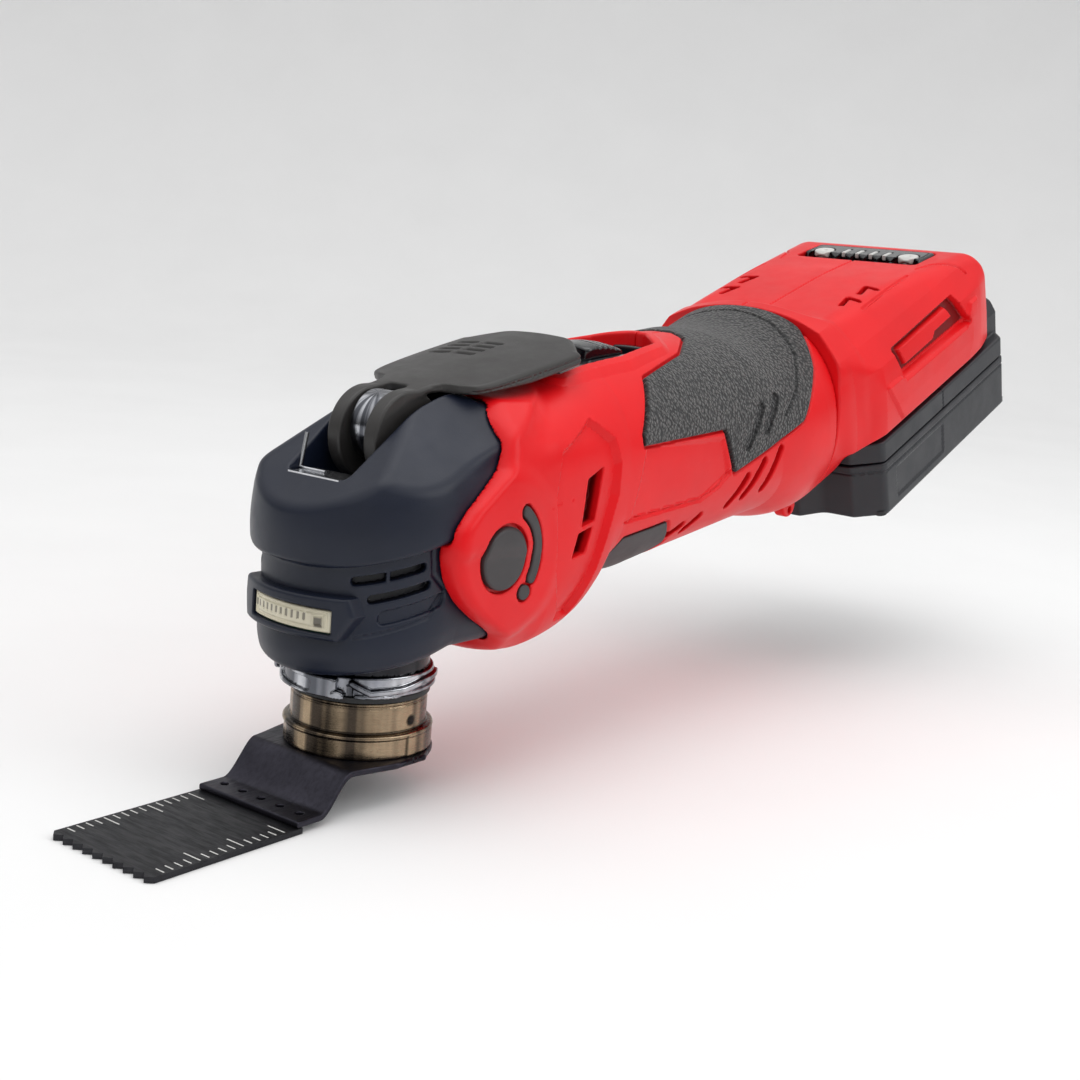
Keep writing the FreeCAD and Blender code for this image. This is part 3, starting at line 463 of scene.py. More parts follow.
def head_solid(x, y, z):
    r = np.hypot(x - np.clip(x, 0, 14), y)
    h = neck_level(x, z)
    lift = z - 0.30 * np.clip(x + 24, 0, 26)
    bell = keep(r - BELL(np.maximum(z, lift)), 45.2 - lift, 1.6)
    neck = keep(r - NECK(h), 20.0 - h, 2.4)
    head = join(bell, neck, 0.8)
    slope = math.radians(37)
    ramp_top = (z - 63.9) * math.cos(slope) - (x + 18.6) * math.sin(slope)
    facet = -0.26 * (x + 9) + 0.611 * (np.abs(y) - 20.2) + 0.748 * (z - 66.7)
    head = keep(keep(head, ramp_top, 1.4), facet, 1.2)
    return keep(head, z - CAP(x), 1.6)


def head_core(x, y, z):
    """The head, ending just behind the seam where the barrel wraps it."""
    return keep(head_solid(x, y, z), x - np.where(z > 40, SEAM(z) + 4.0, 40.0), 0.4)


def slot_room(x, y, z):
    """The lever's slot: square at the back, narrower and rounded at its front end."""
    plan = polygon(x, y, [(-16.6, -7.4), (-4, -8.0), (14.2, -8.0), (14.2, 8.0), (-4, 8.0),
                          (-16.6, 7.4)], 1.6)
    return keep(plan, 60.6 - z, 1.0)


def neck_turn(x, y):
    """Arc length round the neck from straight ahead, alike on both sides."""
    return np.degrees(np.arctan2(np.abs(y), -x)) * 24 * math.pi / 180


def neck_cuts(x, y, z):
    """Distances to the two slots and the recess on both sides of the neck."""
    h = neck_level(x, z)
    turn = neck_turn(x, y)
    first = line_gap(turn, h, [(15.6, 42.1), (30.4, 42.5)]) - 1.05
    first = carve(first, np.abs(turn - 22.6) - 0.45, 0.2)
    second = line_gap(turn, h, [(19.4, 37.6), (32.0, 38.0)]) - 1.05
    recess = line_gap(turn, h, [(22.4, 33.0), (36.0, 33.4)]) - 1.5
    return first, second, recess


def head_field(x, y, z):
    d = head_core(x, y, z)
    r = np.hypot(x, y)
    first, second, recess = neck_cuts(x, y, z)
    cuts = np.minimum(first, second)
    d = carve(d, np.maximum(cuts, 22.0 - r), 0.35)
    d = carve(d, np.maximum(recess, 23.1 - r), 0.7)
    crease = line_gap(neck_turn(x, y), neck_level(x, z),
                      [(32.6, 46), (33.4, 40), (37.6, 35), (33, 30.6), (16, 29.4)])
    d = d + groove(crease, 0.9, 0.3)
    d = carve(d, slot_room(x, y, z), 1.0)
    d = carve(d, np.hypot(x - 3, z - 71.5) - 11.6 + 50 * (np.abs(y) > 8.4), 0.5)
    under = brick(x, y, z, (-25.5, -2.0, 33.9), (5.0, 12.6, 3.4), 0.6)
    d = carve(d, under, 0.3)
    return carve(d, np.hypot(x, y) - 20.6 + np.maximum(0, z - 22) * 9, 0.4)


def head_shade(x, y, z):
    # Painted shade inside the slots cut through the neck.
    first, second, _ = neck_cuts(x, y, z)
    r = np.hypot(x, y)
    inside = np.minimum(first, second) < 0.15
    return np.where(inside & (r < 23.4) & (z < 50), 0.9, 0.0)


body("head_shell", head_field, (-28, -28, 16), (22, 28, 82), 0.42, NAVY, "root",
     ["head_cover"], head_shade)


def case_field(x, y, z):
    """The gear case inside the head, its foot following the rising edge of the neck."""
    r = np.hypot(x, y)
    across = np.hypot(y, z - 53.5)
    tube = keep(keep(r - 21.2, 22.0 - neck_level(x, z), 0.4), z - 60.0, 0.4)
    bell = keep(across - 22.4, np.abs(x - 28.7) - 14.2, 0.4)
    room = np.minimum(np.maximum(r - 18.4, z - 53.8),
                      np.maximum(across - 18.4, np.abs(x - 24) - 12))
    return carve(np.minimum(tube, bell), room, 0.3)


body("gear_housing", case_field, (-22, -23, 17), (44, 23, 77), 0.9, CAST, "root",
     ["gear_case"], None)


def bracket_field(x, y, z):
    r = np.hypot(x, y)
    h = z + 0.02 * y
    shell = keep(r - 27.0, 22.9 - r, 0.4)
    plan = polygon(y, h, [(-14.9, 38.5), (-16.0, 35.0), (-13.2, 29.8), (15.4, 30.3), (18.4, 35.2),
                          (16.8, 38.7)], 0.5)
    d = keep(np.maximum(shell, x + 12), plan, 1.0)
    window = polygon(y, h, [(-11.9, 31.2), (-11.9, 35.8), (10.6, 36.6), (10.6, 31.9)], 0.5)
    return carve(d, np.maximum(window, 24.0 - r), 0.5)


body("light_frame", bracket_field, (-28, -20, 28), (-14, 20, 41), 0.25, NAVY, "root",
     ["light_bezel"], no_tone)


def lens_field(x, y, z):
    r = np.hypot(x, y)
    h = z + 0.02 * y
    window = polygon(y, h, [(-11.7, 31.4), (-11.7, 35.6), (10.4, 36.4), (10.4, 32.1)], 0.4)
    d = keep(np.maximum(keep(r - 26.3, 24.2 - r, 0.2), x + 12), window, 0.5)
    ribs = groove(np.abs((y + 50) % 1.6 - 0.8), 0.7, 0.16)
    frame_line = np.abs(polygon(y, h, [(-11.0, 31.9), (-11.0, 35.2), (9.6, 35.9), (9.6, 32.5)]))
    chip = np.abs(polygon(y, h, [(-10.2, 32.4), (-10.2, 34.6), (-8.0, 34.6), (-8.0, 32.4)]))
    ribs = np.where((y > -7) & (np.abs(h - 34.2) < 0.9), ribs, 0)
    return d + ribs + groove(frame_line, 0.6, 0.3) + groove(chip, 0.6, 0.35)


def lens_tone(x, y, z):
    # Painted shade in the grooves between the lens ribs; the chip square is darkened too.
    chip = polygon(y, z, [(-10.0, 32.2), (-10.0, 34.4), (-8.2, 34.4), (-8.2, 32.2)])
    ribs = (np.abs((y + 50) % 1.6 - 0.8) < 0.35) & (y > -7) & (np.abs(z - 34.2) < 0.8)
    return np.maximum(np.clip(0.5 - chip / 0.3, 0, 1) * 0.85, ribs * 0.7)


body("lens", lens_field, (-27.5, -15, 30), (-20, 12, 38), 0.2, LAMP, "root",
     ["light_lens"], lens_tone)

# ---------------------------------------------------------------- blade, hub and clamp

def plate_field(x, y, z):
    """The bent mounting plate: a disc under the hub, a smooth fold down, then the flat tongue."""
    t = np.clip((-x - 17.4) / 9.4, 0, 1)
    drop = -0.75 - 8.0 * t * t * (3 - 2 * t)
    slope = 8.0 * 6 * t * (1 - t) / 9.4
    sheet = (np.abs(z - drop) - 0.75) / np.sqrt(1 + slope * slope)
    disc = np.hypot(x, y) - 17.8
    tongue = np.maximum(np.abs(y) - 15.95, x)
    d = keep(join(disc, tongue, 9.0), -33.7 - x, 0.4)
    d = keep(sheet, d, 0.5)
    for at in (-12, -6, 0, 6, 12):
        d = carve(d, np.hypot(x + 29.5, y - at) - 0.95, 0.2)
    return np.maximum(d, 9.9 - np.hypot(x, y))


body("blade_mount", plate_field, (-34, -18, -10), (18, 18, 0.2), 0.34, PLATE, "output",
     ["blade_plate"], None)


def hub_field(x, y, z):
    r, turn = np.hypot(x, y), bearing(x, y)
    step = np.clip((turn - 84) / 1.6, 0, 1) * np.clip((142 - turn) / 1.6, 0, 1)
    step = step * np.clip((4.9 - z) / 0.5, 0, 1)
    flange = keep(r - 17.1 - 0.35 * step, np.abs(z - 2.9) - 2.9, 0.5)
    bead = np.hypot(r - 16.9, z - 5.1) - 0.65
    tube = keep(r - 15.9 + groove(np.abs(z - 12.0), 0.5, 0.2), np.abs(z - 6.5) - 6.5, 0.5)
    d = join(np.minimum(flange, bead), tube, 0.5)
    return np.maximum(d, 12.8 - r)


def hub_dot(x, y, z):
    """Distance on the hub's side to a small round spot, painted dark as the shade of a recess that
    is not carved.
    """
    turn = bearing(x, y)
    return np.hypot((turn - 92) * 15.9 * math.pi / 180, z - 8.1) - 1.35


def hub_shade(x, y, z):
    # Painted shade: a dark line at the edge of the flange's raised step, a ring in the crease above
    # the bead, the uncarved recess as a dark dot, and the bore.
    turn = bearing(x, y)
    r = np.hypot(x, y)
    line = np.clip(1.4 - np.abs(turn - 84.6) / 1.0, 0, 1) * (z < 5.2)
    ring = np.clip(1.3 - np.abs(z - 6.0) / 0.35, 0, 1)
    dot = np.clip(0.5 - hub_dot(x, y, z) / 0.3, 0, 1)
    return np.where(r > 15.2, np.maximum(np.maximum(line, ring) * 0.85, dot), 0.9)


body("hub_ring", hub_field, (-18, -18, 0), (18, 18, 13.2), 0.36, BRONZE, "output",
     ["blade_hub"], hub_shade)


def clamp_field(x, y, z):
    """The clamp ring: a bar with a hook, a knuckle and a raised rib, on a narrower collar."""
    r, turn = np.hypot(x, y), bearing(x, y)
    along = turn * 17.6 * math.pi / 180
    d = keep(r - 16.9, np.abs(z - 17.0) - 2.4, 0.7)
    bar = keep(np.abs(along + 3.5) - 11.5, np.abs(z - 16.6 + 0.03 * along) - 2.9, 1.2)
    d = np.minimum(d, keep(r - 18.7, bar, 0.9))
    panel = line_gap(along, z, [(-9.5, 17.0), (0.5, 16.6)]) - 1.4
    d = carve(d, np.maximum(panel, 17.9 - r), 0.5)
    knuckle = np.hypot(along - 8.4, z - 14.9) - 1.5
    d = join(d, keep(r - 19.0, knuckle, 0.5), 0.4)
    d = carve(d, np.maximum(np.abs(along - 10.8) - 0.7, np.maximum(z - 17.2, 16.4 - r)), 0.4)
    rib = line_gap(along, z, [(11.4, 17.9), (15.6, 15.9), (24, 16.4), (30, 17.5), (40, 17.6)])
    d = join(d, keep(r - 17.9, rib - 0.75, 0.6), 0.4)
    low_rib = line_gap(along, z, [(12.5, 14.9), (21, 14.7), (23.5, 15.4), (40, 15.6)]) - 0.5
    d = join(d, keep(r - 17.5, low_rib, 0.4), 0.3)
    hook = line_gap(along, z, [(-17.2, 16.4), (-15.6, 19.2), (-12.5, 19.4)]) - 1.2
    d = join(d, keep(r - 20.3, hook, 0.8), 0.4)
    d = np.minimum(d, keep(r - 15.9, np.abs(z - 20.8) - 2.4, 0.4))
    return np.maximum(np.maximum(d, 12.6 - r), 14.55 - z)


def clamp_shade(x, y, z):
    # Painted shade on the bore and on the narrower collar set back under the head.
    r = np.hypot(x, y)
    return np.clip((16.6 - r) / 0.4, 0, 1) * 0.95


body("clamp_ring", clamp_field, (-21, -21, 13), (21, 21, 23.3), 0.36, CHROME, "output",
     ["clamp_collar"], clamp_shade)


def tick_field(x, y, z):
    """Plain graduation marks along both long edges of the blade."""
    side = np.abs(y)
    d = 99 + 0 * x
    for index in range(15):
        long = 5.2 if index % 5 == 0 else 2.6
        d = np.minimum(d, brick(x, side, z, (-37.0 - 2.3 * index, 15.4 - long / 2, -9.5),
                                (0.22, long / 2, 0.045), 0.02))
    return d


# The marks are thinner than a grid step, so a layer of the grid is set on their middle plane.
body("blade_ticks", tick_field, (-71, -16, -9.5 - 0.06 * GRID), (-36, 16, -9.4), 0.12, WHITE,
     "output")

# ---------------------------------------------------------------- lever

LEVER_TILT = math.radians(13)
LC, LS = math.cos(LEVER_TILT), math.sin(LEVER_TILT)


LEVER_HALF = spline((-9, 7.4), (8, 7.8), (10.5, 9.0), (12.5, 13.0), (15, 16.2), (20, 17.6),
                    (30, 18.4), (45, 18.8), (62, 18.8))


def lever_local(x, z):
    """Along and square to the paddle, which tilts up to the back about the lever's pin."""
    return (x - 3) * LC + (z - 71.5) * LS, (z - 71.5) * LC - (x - 3) * LS


def lever_marks(s, y):
    """Distance to a plain set of finger slots across the paddle."""
    gap = 99 + 0 * s
    for row in range(4):
        at = 33.0 + 3.6 * row
        gap = np.minimum(gap, line_gap(s, y, [(at, 0.6), (at, 5.4)]))
        gap = np.minimum(gap, line_gap(s, y, [(at, 8.4), (at, 13.2)]))
    return gap


def lever_field(x, y, z):
    s, t = lever_local(x, z)
    bow = 0.0047 * y * y
    crown = 10.7 - bow + 0.5 * np.sin(np.clip(s, 0, 60) / 60 * math.pi)
    under = 8.7 - 0.9 * np.clip((s - 18) / 14, 0, 1) - bow
    plan = np.abs(y) - LEVER_HALF(s)
    end = polygon(s, np.abs(y), [(-40, -40), (53, -40), (53, 7.5), (45.5, 14.5), (45.5, 40),
                                 (-40, 40)], 6.5)
    blade = keep(keep(keep(t - crown, under - t, 0.7), plan, 1.2), end, 2.0)
    blade = np.maximum(blade, -s)
    disc = np.hypot(x - 3, z - 71.5)
    cheek = keep(disc - 11.1, np.abs(np.abs(y) - 5.6) - 2.0, 0.8)
    gap = keep(keep(np.abs(y) - 3.5, s - 6.0, 2.0), -1 - s, 0.5)
    d = join(carve(blade, gap, 0.7), cheek, 0.4)
    d = carve(d, disc - 2.56, 0.3)
    ribs = np.where(t > 9, groove(lever_marks(s, y), 1.7, 0.8), 0)
    seam = groove(np.abs(t - 9.5 + bow), 0.5, 0.22) * (s > 14)
    return d + ribs + seam


def lever_shade(x, y, z):
    # Painted shade in the finger slots on the paddle's top.
    s, t = lever_local(x, z)
    return np.where(t > 9, np.clip(1.7 - lever_marks(s, y) / 0.5, 0, 1), 0)


body("clamp_lever", lever_field, (-9, -21, 60), (64, 21, 98), 0.42, PADDLE, "lever",
     ["lever"], lever_shade)

# ---------------------------------------------------------------- red barrel

TOP = spline((8, 79.0), (18, 79.4), (28, 81.0), (50, 87.4), (62, 90.6), (80, 92.8), (100, 94.4),
             (120, 96.1), (145, 99.3), (160, 100.6), (180, 101.0))
LOW = spline((8, 26.5), (16, 22.4), (24, 20.8), (33, 19.8), (42, 20.3), (51, 21.9), (56, 24.8),
             (60, 30.4), (64, 32.4), (76, 32.2), (82, 33.0), (97, 35.4), (109, 37.1), (121, 39.0),
             (134, 41.0), (147, 42.4), (160, 42.7), (176, 43.0))
HALF = spline((8, 28.2), (25, 28.9), (44, 29.6), (60, 29.4), (75, 29.2), (105, 29.6),
              (125, 30.6), (145, 31.8), (172, 33.0))
RECESS = [(34, 69.5), (47, 76.3), (54.8, 71.6), (57.0, 66), (56.6, 58), (51, 41), (46, 29),
          (38.5, 29), (34, 42), (32.4, 58.5)]
SIDE_PANEL = [(69.6, 69.6), (105.4, 69.6), (110, 59.8), (98.4, 53.9), (65.0, 51.0)]
VENTS = [[(46.0, 62.4), (51.6, 64.8), (49.4, 52.4), (44.8, 51.4)],
         [(43.6, 49.2), (48.6, 50.4), (46.8, 44.8), (42.0, 44.0)]]
GRILLE = [[(134.8, 65.7), (130.0, 54.5)], [(127.2, 62.6), (121.0, 52.7)],
          [(119.8, 58.6), (114.5, 50.7)], [(101.5, 48.6), (97.5, 44.8)],
          [(94.0, 46.6), (89.0, 43.4)]]
GRIP_EDGE = [(115.2, -10), (115.2, 3), (112, 8.6), (100.7, 15.0), (77.2, 20.2), (68, 34.1),
             (68.4, 37.0), (105.8, 38.2), (112.5, 50.8), (128.1, 46.6), (144.8, 41.2),
             (153.4, 28.6), (158, 17.2), (160, 0), (160, -10)]
BELLY = [(61.2, 20), (61.2, 38), (65.4, 45.6), (84.5, 48.2), (91.3, 41.6), (84.0, 20)]


def barrel(x, y, z):
    top, low = TOP(x), LOW(x)
    high = 58 + 0.10 * (x - 40)
    half = HALF(x)
    boxy = np.clip((62 - x) / 30, 0, 1)
    up = oval(y, z - high, half + 1.4 * boxy, top - high, 2.25 + 0.55 * boxy)
    down = oval(y, high - z, half + 1.4 * boxy, high - low, 2.35 + 1.5 * boxy)
    d = np.where(z > high, up, down)
    return keep(d, np.abs(y) - half - 0.1, 2.0)


def red_solid(x, y, z):
    """The barrel with the ear bosses, wrapping the head in front and meeting the neck behind."""
    u, w = rear(x, z)
    ear = keep(np.hypot(x - 14, z - 46.5) - 19.0, np.abs(y) - 28.4, 3.0)
    wrap = keep(head_solid(x, y, z) - 1.9, z - 81.2, 1.0)
    blend = np.clip((u - 150) / 24, 0, 1)
    tube = barrel(x, y, z) * (1 - blend) + neck_form(y, w) * blend
    d = join(join(tube, ear, 4.0), wrap, 5.0)
    d = keep(d, SEAM(z) - x, 4.2)
    recess = polygon(x, z, RECESS)
    d = d + 1.5 * np.clip(0.5 - recess / 1.8, 0, 1) * (np.abs(y) > 14)
    panel = polygon(x, z, SIDE_PANEL)
    d = d + 0.75 * np.clip(0.5 - panel / 1.3, 0, 1) * (np.abs(y) > 14)
    panel_line = line_gap(x, z, [(62.0, 50.6), (97.9, 53.4), (106, 56.8), (110.6, 61.0)])
    d = d + groove(np.where(np.abs(y) > 12, panel_line, 9), 0.8, 0.5)
    return keep(d, u - neck_seam(w) + 0.2, 0.5)


def neck_form(y, w):
    """Section of the neck between barrel and rear housing."""
    return oval(y, w - 8, 33, 31, 2.25)


def neck_seam(w):
    """Where the rear housing starts."""
    return 177.0 + 0.17 * w


def girth(x, y, z):
    """Arc length round the barrel from its top line."""
    return 29 * np.arctan2(np.abs(y), z - 58 - 0.10 * (x - 40))


def grip_edge(x, y, z):
    return polygon(x, girth(x, y, z), GRIP_EDGE, 0.6)


def grip_line(x, y, z):
    return line_gap(x, girth(x, y, z), [(153, 0), (151.5, 12), (148.2, 23.8), (142, 32.5),
                                        (135, 38.3)])


def switch_edge(x, y):
    """Outline of the switch opening, rounded at the back and open under the lever."""
    return polygon(x, np.abs(y), [(50, -5), (99.6, -5), (99.6, 2), (94, 8.4), (75, 11.4),
                                  (50, 11.4)], 2.0)


def red_field(x, y, z):
    d = red_solid(x, y, z)
    side = np.abs(y)
    base = d
    d = d + 0.9 * np.clip(0.5 - (grip_edge(x, y, z) + 0.2) / 0.7, 0, 1) * (z > 50)
    d = d + 0.9 * np.clip(0.5 - polygon(x, z, BELLY, 0.8) / 0.7, 0, 1) * (side > 9)
    for corners in VENTS:
        d = carve(d, np.maximum(polygon(x, z, corners, 0.3), -base - 3.4), 0.4)
    for ends in GRILLE:
        d = carve(d, np.maximum(line_gap(x, z, ends) - 1.25, -base - 2.9), 0.4)
    disc = np.hypot(x - 13, z - 47.1)
    d = carve(d, np.maximum(disc - 8.2, -base - 1.4), 0.3)
    d = carve(d, np.maximum(ear_arc(x, z) - 0.4, -base - 1.3), 0.3)
    d = carve(d, np.maximum(ear_dot(x, z) - 0.4, -base - 1.3), 0.3)
    rim = np.clip(0.5 - (switch_edge(x, y) - 3.6) / 2.0, 0, 1) * (z > 80) * (x > 40)
    d = d - 0.9 * rim
    d = carve(d, keep(switch_edge(x, y), 84.6 - z, 0.5), 0.9)
    d = carve(d, slot_room(x, y, z), 0.6)
    return carve(d, head_core(x, y, z) - 0.35, 0.3)


def red_shade(x, y, z):
    # Painted shade in the pockets deeper than about 1.5 mm, such as the vents and grille slots,
    # away from the switch opening.
    base = red_solid(x, y, z)
    deep = np.clip((-base - 1.5) / 0.9, 0, 1)
    return np.where((x > 26) & (x < 160) & ~((switch_edge(x, y) < 1) & (z > 80)), deep, 0) * 0.9


def ear_arc(x, z):
    turn = np.arctan2(z - 47.1, x - 13)
    mid = math.radians(14)
    swing = np.clip(turn, mid - math.radians(42), mid + math.radians(44))
    return np.hypot(x - 13 - 12.0 * np.cos(swing), z - 47.1 - 12.0 * np.sin(swing)) - 1.5


def ear_dot(x, z):
    return np.hypot((x - 21.4) * 0.9, z - 38.2) - 1.9


for name, sign in (("right", -1), ("left", 1)):
    body("red_" + name, lambda x, y, z, s=sign: keep(red_field(x, y, z), 0.09 - s * y, 0.35),
         (-8, min(0, 34 * sign), 15), (184, max(0, 34 * sign), 106), 0.5, RED, "root",
         ["housing_" + name], red_shade)


def inlay_field(x, y, z):
    base = red_solid(x, y, z)
    disc = np.hypot(x - 13, z - 47.1) - 7.4
    d = keep(disc, base - 0.55, 0.7)
    d = np.minimum(d, keep(ear_arc(x, z) + 0.1, base - 0.25, 0.5))
    d = np.minimum(d, keep(ear_dot(x, z) + 0.1, base - 0.2, 0.4))
    return np.maximum(np.maximum(d, -base - 1.2), 20 - np.abs(y))


for name, sign in (("right", -1), ("left", 1)):
    body("ear_inlay_" + name, lambda x, y, z, s=sign: np.maximum(inlay_field(x, y, z), -s * y),
         (4, min(24 * sign, 30 * sign), 34), (28, max(24 * sign, 30 * sign), 62), 0.22, INLAY,
         "root", ["ear_caps", "ear_marks"] if sign < 0 else [], None)


def grip_slots(x, z):
    return np.minimum(line_gap(x, z, [(123.4, 77.6), (117.2, 67.2)]),
                      line_gap(x, z, [(130.9, 80.0), (126.0, 71.4)]))


def grip_field(x, y, z):
    base = red_solid(x, y, z)
    edge = grip_edge(x, y, z) + 0.75
    d = keep(edge, base - 0.35 + groove(grip_line(x, y, z), 1.0, 0.5), 0.8)
    d = carve(d, np.maximum(grip_slots(x, z) - 1.4, -base - 0.4), 0.3)
    return np.maximum(d, np.maximum(-base - 1.4, 50 - z))


def grip_shade(x, y, z):
    # Painted shade in the slots, along the groove, and along the edge where the pad meets the
    # housing.
    dark = np.maximum(np.clip(2.1 - grip_slots(x, z), 0, 1),
                      np.clip(1.3 - grip_line(x, y, z) / 0.5, 0, 1))
    return np.maximum(dark, np.clip(1.0 + (grip_edge(x, y, z) + 0.75) / 0.5, 0, 1))


body("grip_pad", grip_field, (62, -34, 54), (162, 34, 103), 0.45, GRIP, "root",
     ["grip_overmould"], grip_shade)


def belly_field(x, y, z):
    base = red_solid(x, y, z)
    d = keep(polygon(x, z, BELLY, 0.3), base + 0.1, 0.5)
    return np.maximum(np.maximum(d, -base - 1.3), 9.6 - np.abs(y))


body("belly_grips", belly_field, (58, -31, 22), (94, 31, 52), 0.35, INLAY, "root",
     ["belly_pad"], None)

# ---------------------------------------------------------------- switch and rear housing

def switch_bed(x, y, z):
    bed = TOP(x) - 2.6 - 0.006 * y * y
    d = keep(switch_edge(x, y) + 0.35, z - bed, 0.6)
    d = carve(d, brick(x, y, z, (83, 0, 91), (15.5, 7.4, 3.4), 1.0), 0.6)
    return np.maximum(d, 85.0 - z)


body("switch_bed", switch_bed, (56, -14, 84), (104, 14, 94), 0.3, PIANO, "root",
     ["switch_frame"], None)


def slider_field(x, y, z):
    dome = 93.2 - 0.016 * (x - 78) ** 2 - 0.02 * y * y
    d = keep(np.abs(x - 79) - 8.6, np.abs(y) - 6.6, 2.4)
    ribs = groove(np.abs((x + 50) % 2.4 - 1.2), 0.9, 0.3) * (np.abs(x - 79) < 5)
    d = keep(d, z - dome + ribs, 0.8)
    return np.maximum(d, 86.5 - z)


body("switch_thumb", slider_field, (68, -8, 86), (90, 8, 95), 0.25, PIANO, "switch",
     ["switch_slider"], None)

R_TOP = spline((170, 41.5), (176, 38.9), (186, 35.2), (192, 33.8), (204, 33.2), (232, 31.4),
               (256, 28.6), (270, 26.9), (277, 25.8), (284, 19.0))
R_PLAN = ((176, 33.0), (187, 33.8), (200.5, 38.4), (262, 38.4), (272, 37.2), (284, 34.5))
R_SIDE = ((-6, 37.6), (2, 38.4), (10, 38.5), (17, 37.0), (25, 32.4), (33.4, 25.8), (36, 20),
          (40, 12.0))


def rear_solid(x, y, z):
    u, w = rear(x, z)
    side = np.abs(y)
    plan = side - np.interp(u, *np.transpose(R_PLAN))
    wall = keep(plan, (side - np.interp(w, *np.transpose(R_SIDE))) * 0.8, 1.4)
    d = keep(wall, w - R_TOP(u), 3.2)
    d = keep(d, -5.4 - w, 0.8)
    d = keep(d, u - 283.2 + 0.16 * np.maximum(w - 4, 0), 2.4)
    front = 181 + 0.10 * np.maximum(0, 16 - w) - 0.30 * np.maximum(0, w - 18)
    d = keep(d, front - u, 5.0)
    neck = keep(neck_form(y, w), np.abs(u - 182.0) - 7.0, 1.5)
    return keep(join(d, neck, 5.5), neck_seam(w) + 0.2 - u, 0.5)


def ledge_edge(u, w):
    return polygon(u, w, [(201.9, 9.6), (210.9, -3.6), (259.2, -3.6), (267.4, 14.2), (262.4, 14.2),
                          (257.8, 7.4), (212.9, 7.4), (209.5, 9.6)], 0.6)


def panel_edge(u, w):
    return polygon(u, w, [(209.9, 18.4), (253.3, 19.4), (259.8, 9.4), (213.2, 9.4)], 0.6)


def panel_local(x, z):
    """Along and square to the status panel, which leans down to the back by 7 degrees."""
    u, w = rear(x, z)
    a = math.radians(7)
    u, w = u - 264.3, w - 27.7
    return u * math.cos(a) - w * math.sin(a), w * math.cos(a) + u * math.sin(a)


def rear_field(x, y, z):
    u, w = rear(x, z)
    side = np.abs(y)
    base = rear_solid(x, y, z)
    d = base + 2.2 * np.clip(0.5 - panel_edge(u, w) / 0.8, 0, 1) * (side > 20)
    d = d - 0.8 * np.clip(0.5 - ledge_edge(u, w) / 0.9, 0, 1) * (side > 20)
    inner = polygon(u, w, [(214, 17.0), (248, 17.8), (250.4, 14.4), (238, 14.0), (236, 12.2),
                           (216.5, 11.8)], 0.3)
    d = d - 1.3 * np.clip(0.5 - inner / 0.6, 0, 1) * (side > 20)
    crease = np.minimum(line_gap(u, side, [(208.9, 26.9), (241.7, 25.8)]),
                        line_gap(u, side, [(250, 24.6), (258, 26.4), (264, 30.5), (268, 33.5)]))
    d = d + groove(np.where(w > 14, crease, 9), 0.8, 0.5)
    d = d + groove(np.where(u < 262, np.abs(y), 9), 0.7, 0.45) * (w > 10)
    for du in (0, 12.0):
        bar = line_gap(u - du, side, [(206.4, 21.2), (213.6, 19.8)])
        stem = line_gap(u - du, side, [(213.4, 20.0), (212.0, 24.0)])
        d = carve(d, np.maximum(np.minimum(bar, stem) - 0.95, -base - 2.4), 0.3)
    s, t = panel_local(x, z)
    d = carve(d, np.maximum(brick(s, y, t, (0, 0, 0), (8.9, 21.9, 5), 2.2), -4.6 - t), 0.5)
    return d


def rear_shade(x, y, z):
    # Painted shade in the deep pockets, such as the two carved marks and the panel's recess.
    base = rear_solid(x, y, z)
    u, w = rear(x, z)
    return np.clip((-base - 1.5) / 0.8, 0, 1) * (u > 186) * (w > 10) * 0.95


body("rear_shell", rear_field, (148, -39, 40), (262, 39, 136), 0.5, RED, "root",
     ["rear_housing"], rear_shade)


def panel_field(x, y, z):
    s, t = panel_local(x, z)
    d = brick(s, y, t, (0, 0, -1.3), (8.5, 21.5, 1.9), 1.6)
    d = keep(d, t - 0.35, 0.4)
    d = d + groove(np.abs(brick(s, y, t * 0, (0, 0, 0), (7.2, 20.2, 9), 2.0)), 0.5, 0.25)
    for at in (-15.5, 15.5):
        d = carve(d, np.hypot(s, y - at) - 3.75, 0.3)
    for at in (-7.5, -2.5, 2.5, 7.5):
        d = carve(d, brick(s, y, t, (0.6, at, 0), (3.2, 1.0, 3), 0.3), 0.2)
    return d


body("status_panel", panel_field, (234, -22, 108), (256, 22, 124), 0.25, PIANO, "root",
     ["panel_frame"], None)


def bars_field(x, y, z):
    s, t = panel_local(x, z)
    d = 99 + 0 * s
    for at in (-7.5, -2.5, 2.5, 7.5):
        d = np.minimum(d, brick(s, y, t, (0.6, at, -0.4), (2.4, 0.7, 0.9), 0.3))
    marks = brick(s, y, t, (-5.6, -5.2, 0.36), (0.5, 2.6, 0.16), 0.1)
    marks = np.minimum(marks, brick(s, y, t, (-5.6, 4.4, 0.36), (0.5, 3.6, 0.16), 0.1))
    return np.minimum(d, marks)


body("status_bars", bars_field, (234, -12, 108), (256, 12, 124), 0.2, WHITE, "root",
     ["light_bars"], None)

for name, at in (("left", 15.5), ("right", -15.5)):
    def button(x, y, z, at=at):
        s, t = panel_local(x, z)
        d = keep(np.hypot(s, y - at) - 3.35, np.abs(t + 0.6) - 1.05, 0.5)
        return carve(d, np.sqrt(s * s + (y - at) ** 2 + (t - 0.9) ** 2) - 1.2, 0.2)
    body("button_cap_" + name, button, (234, at - 4.5, 108), (256, at + 4.5, 124), 0.2, PEARL,
         "button_" + name, ["panel_button_" + name], None)


def lug_field(x, y, z):
    u, w = rear(x, z)
    d = keep(np.hypot(u - 172.5, w + 19.6) - 3.8, np.abs(y + 16) - 1.8, 0.6)
    return carve(d, np.hypot(u - 172.5, w + 21.3) - 1.1, 0.3)


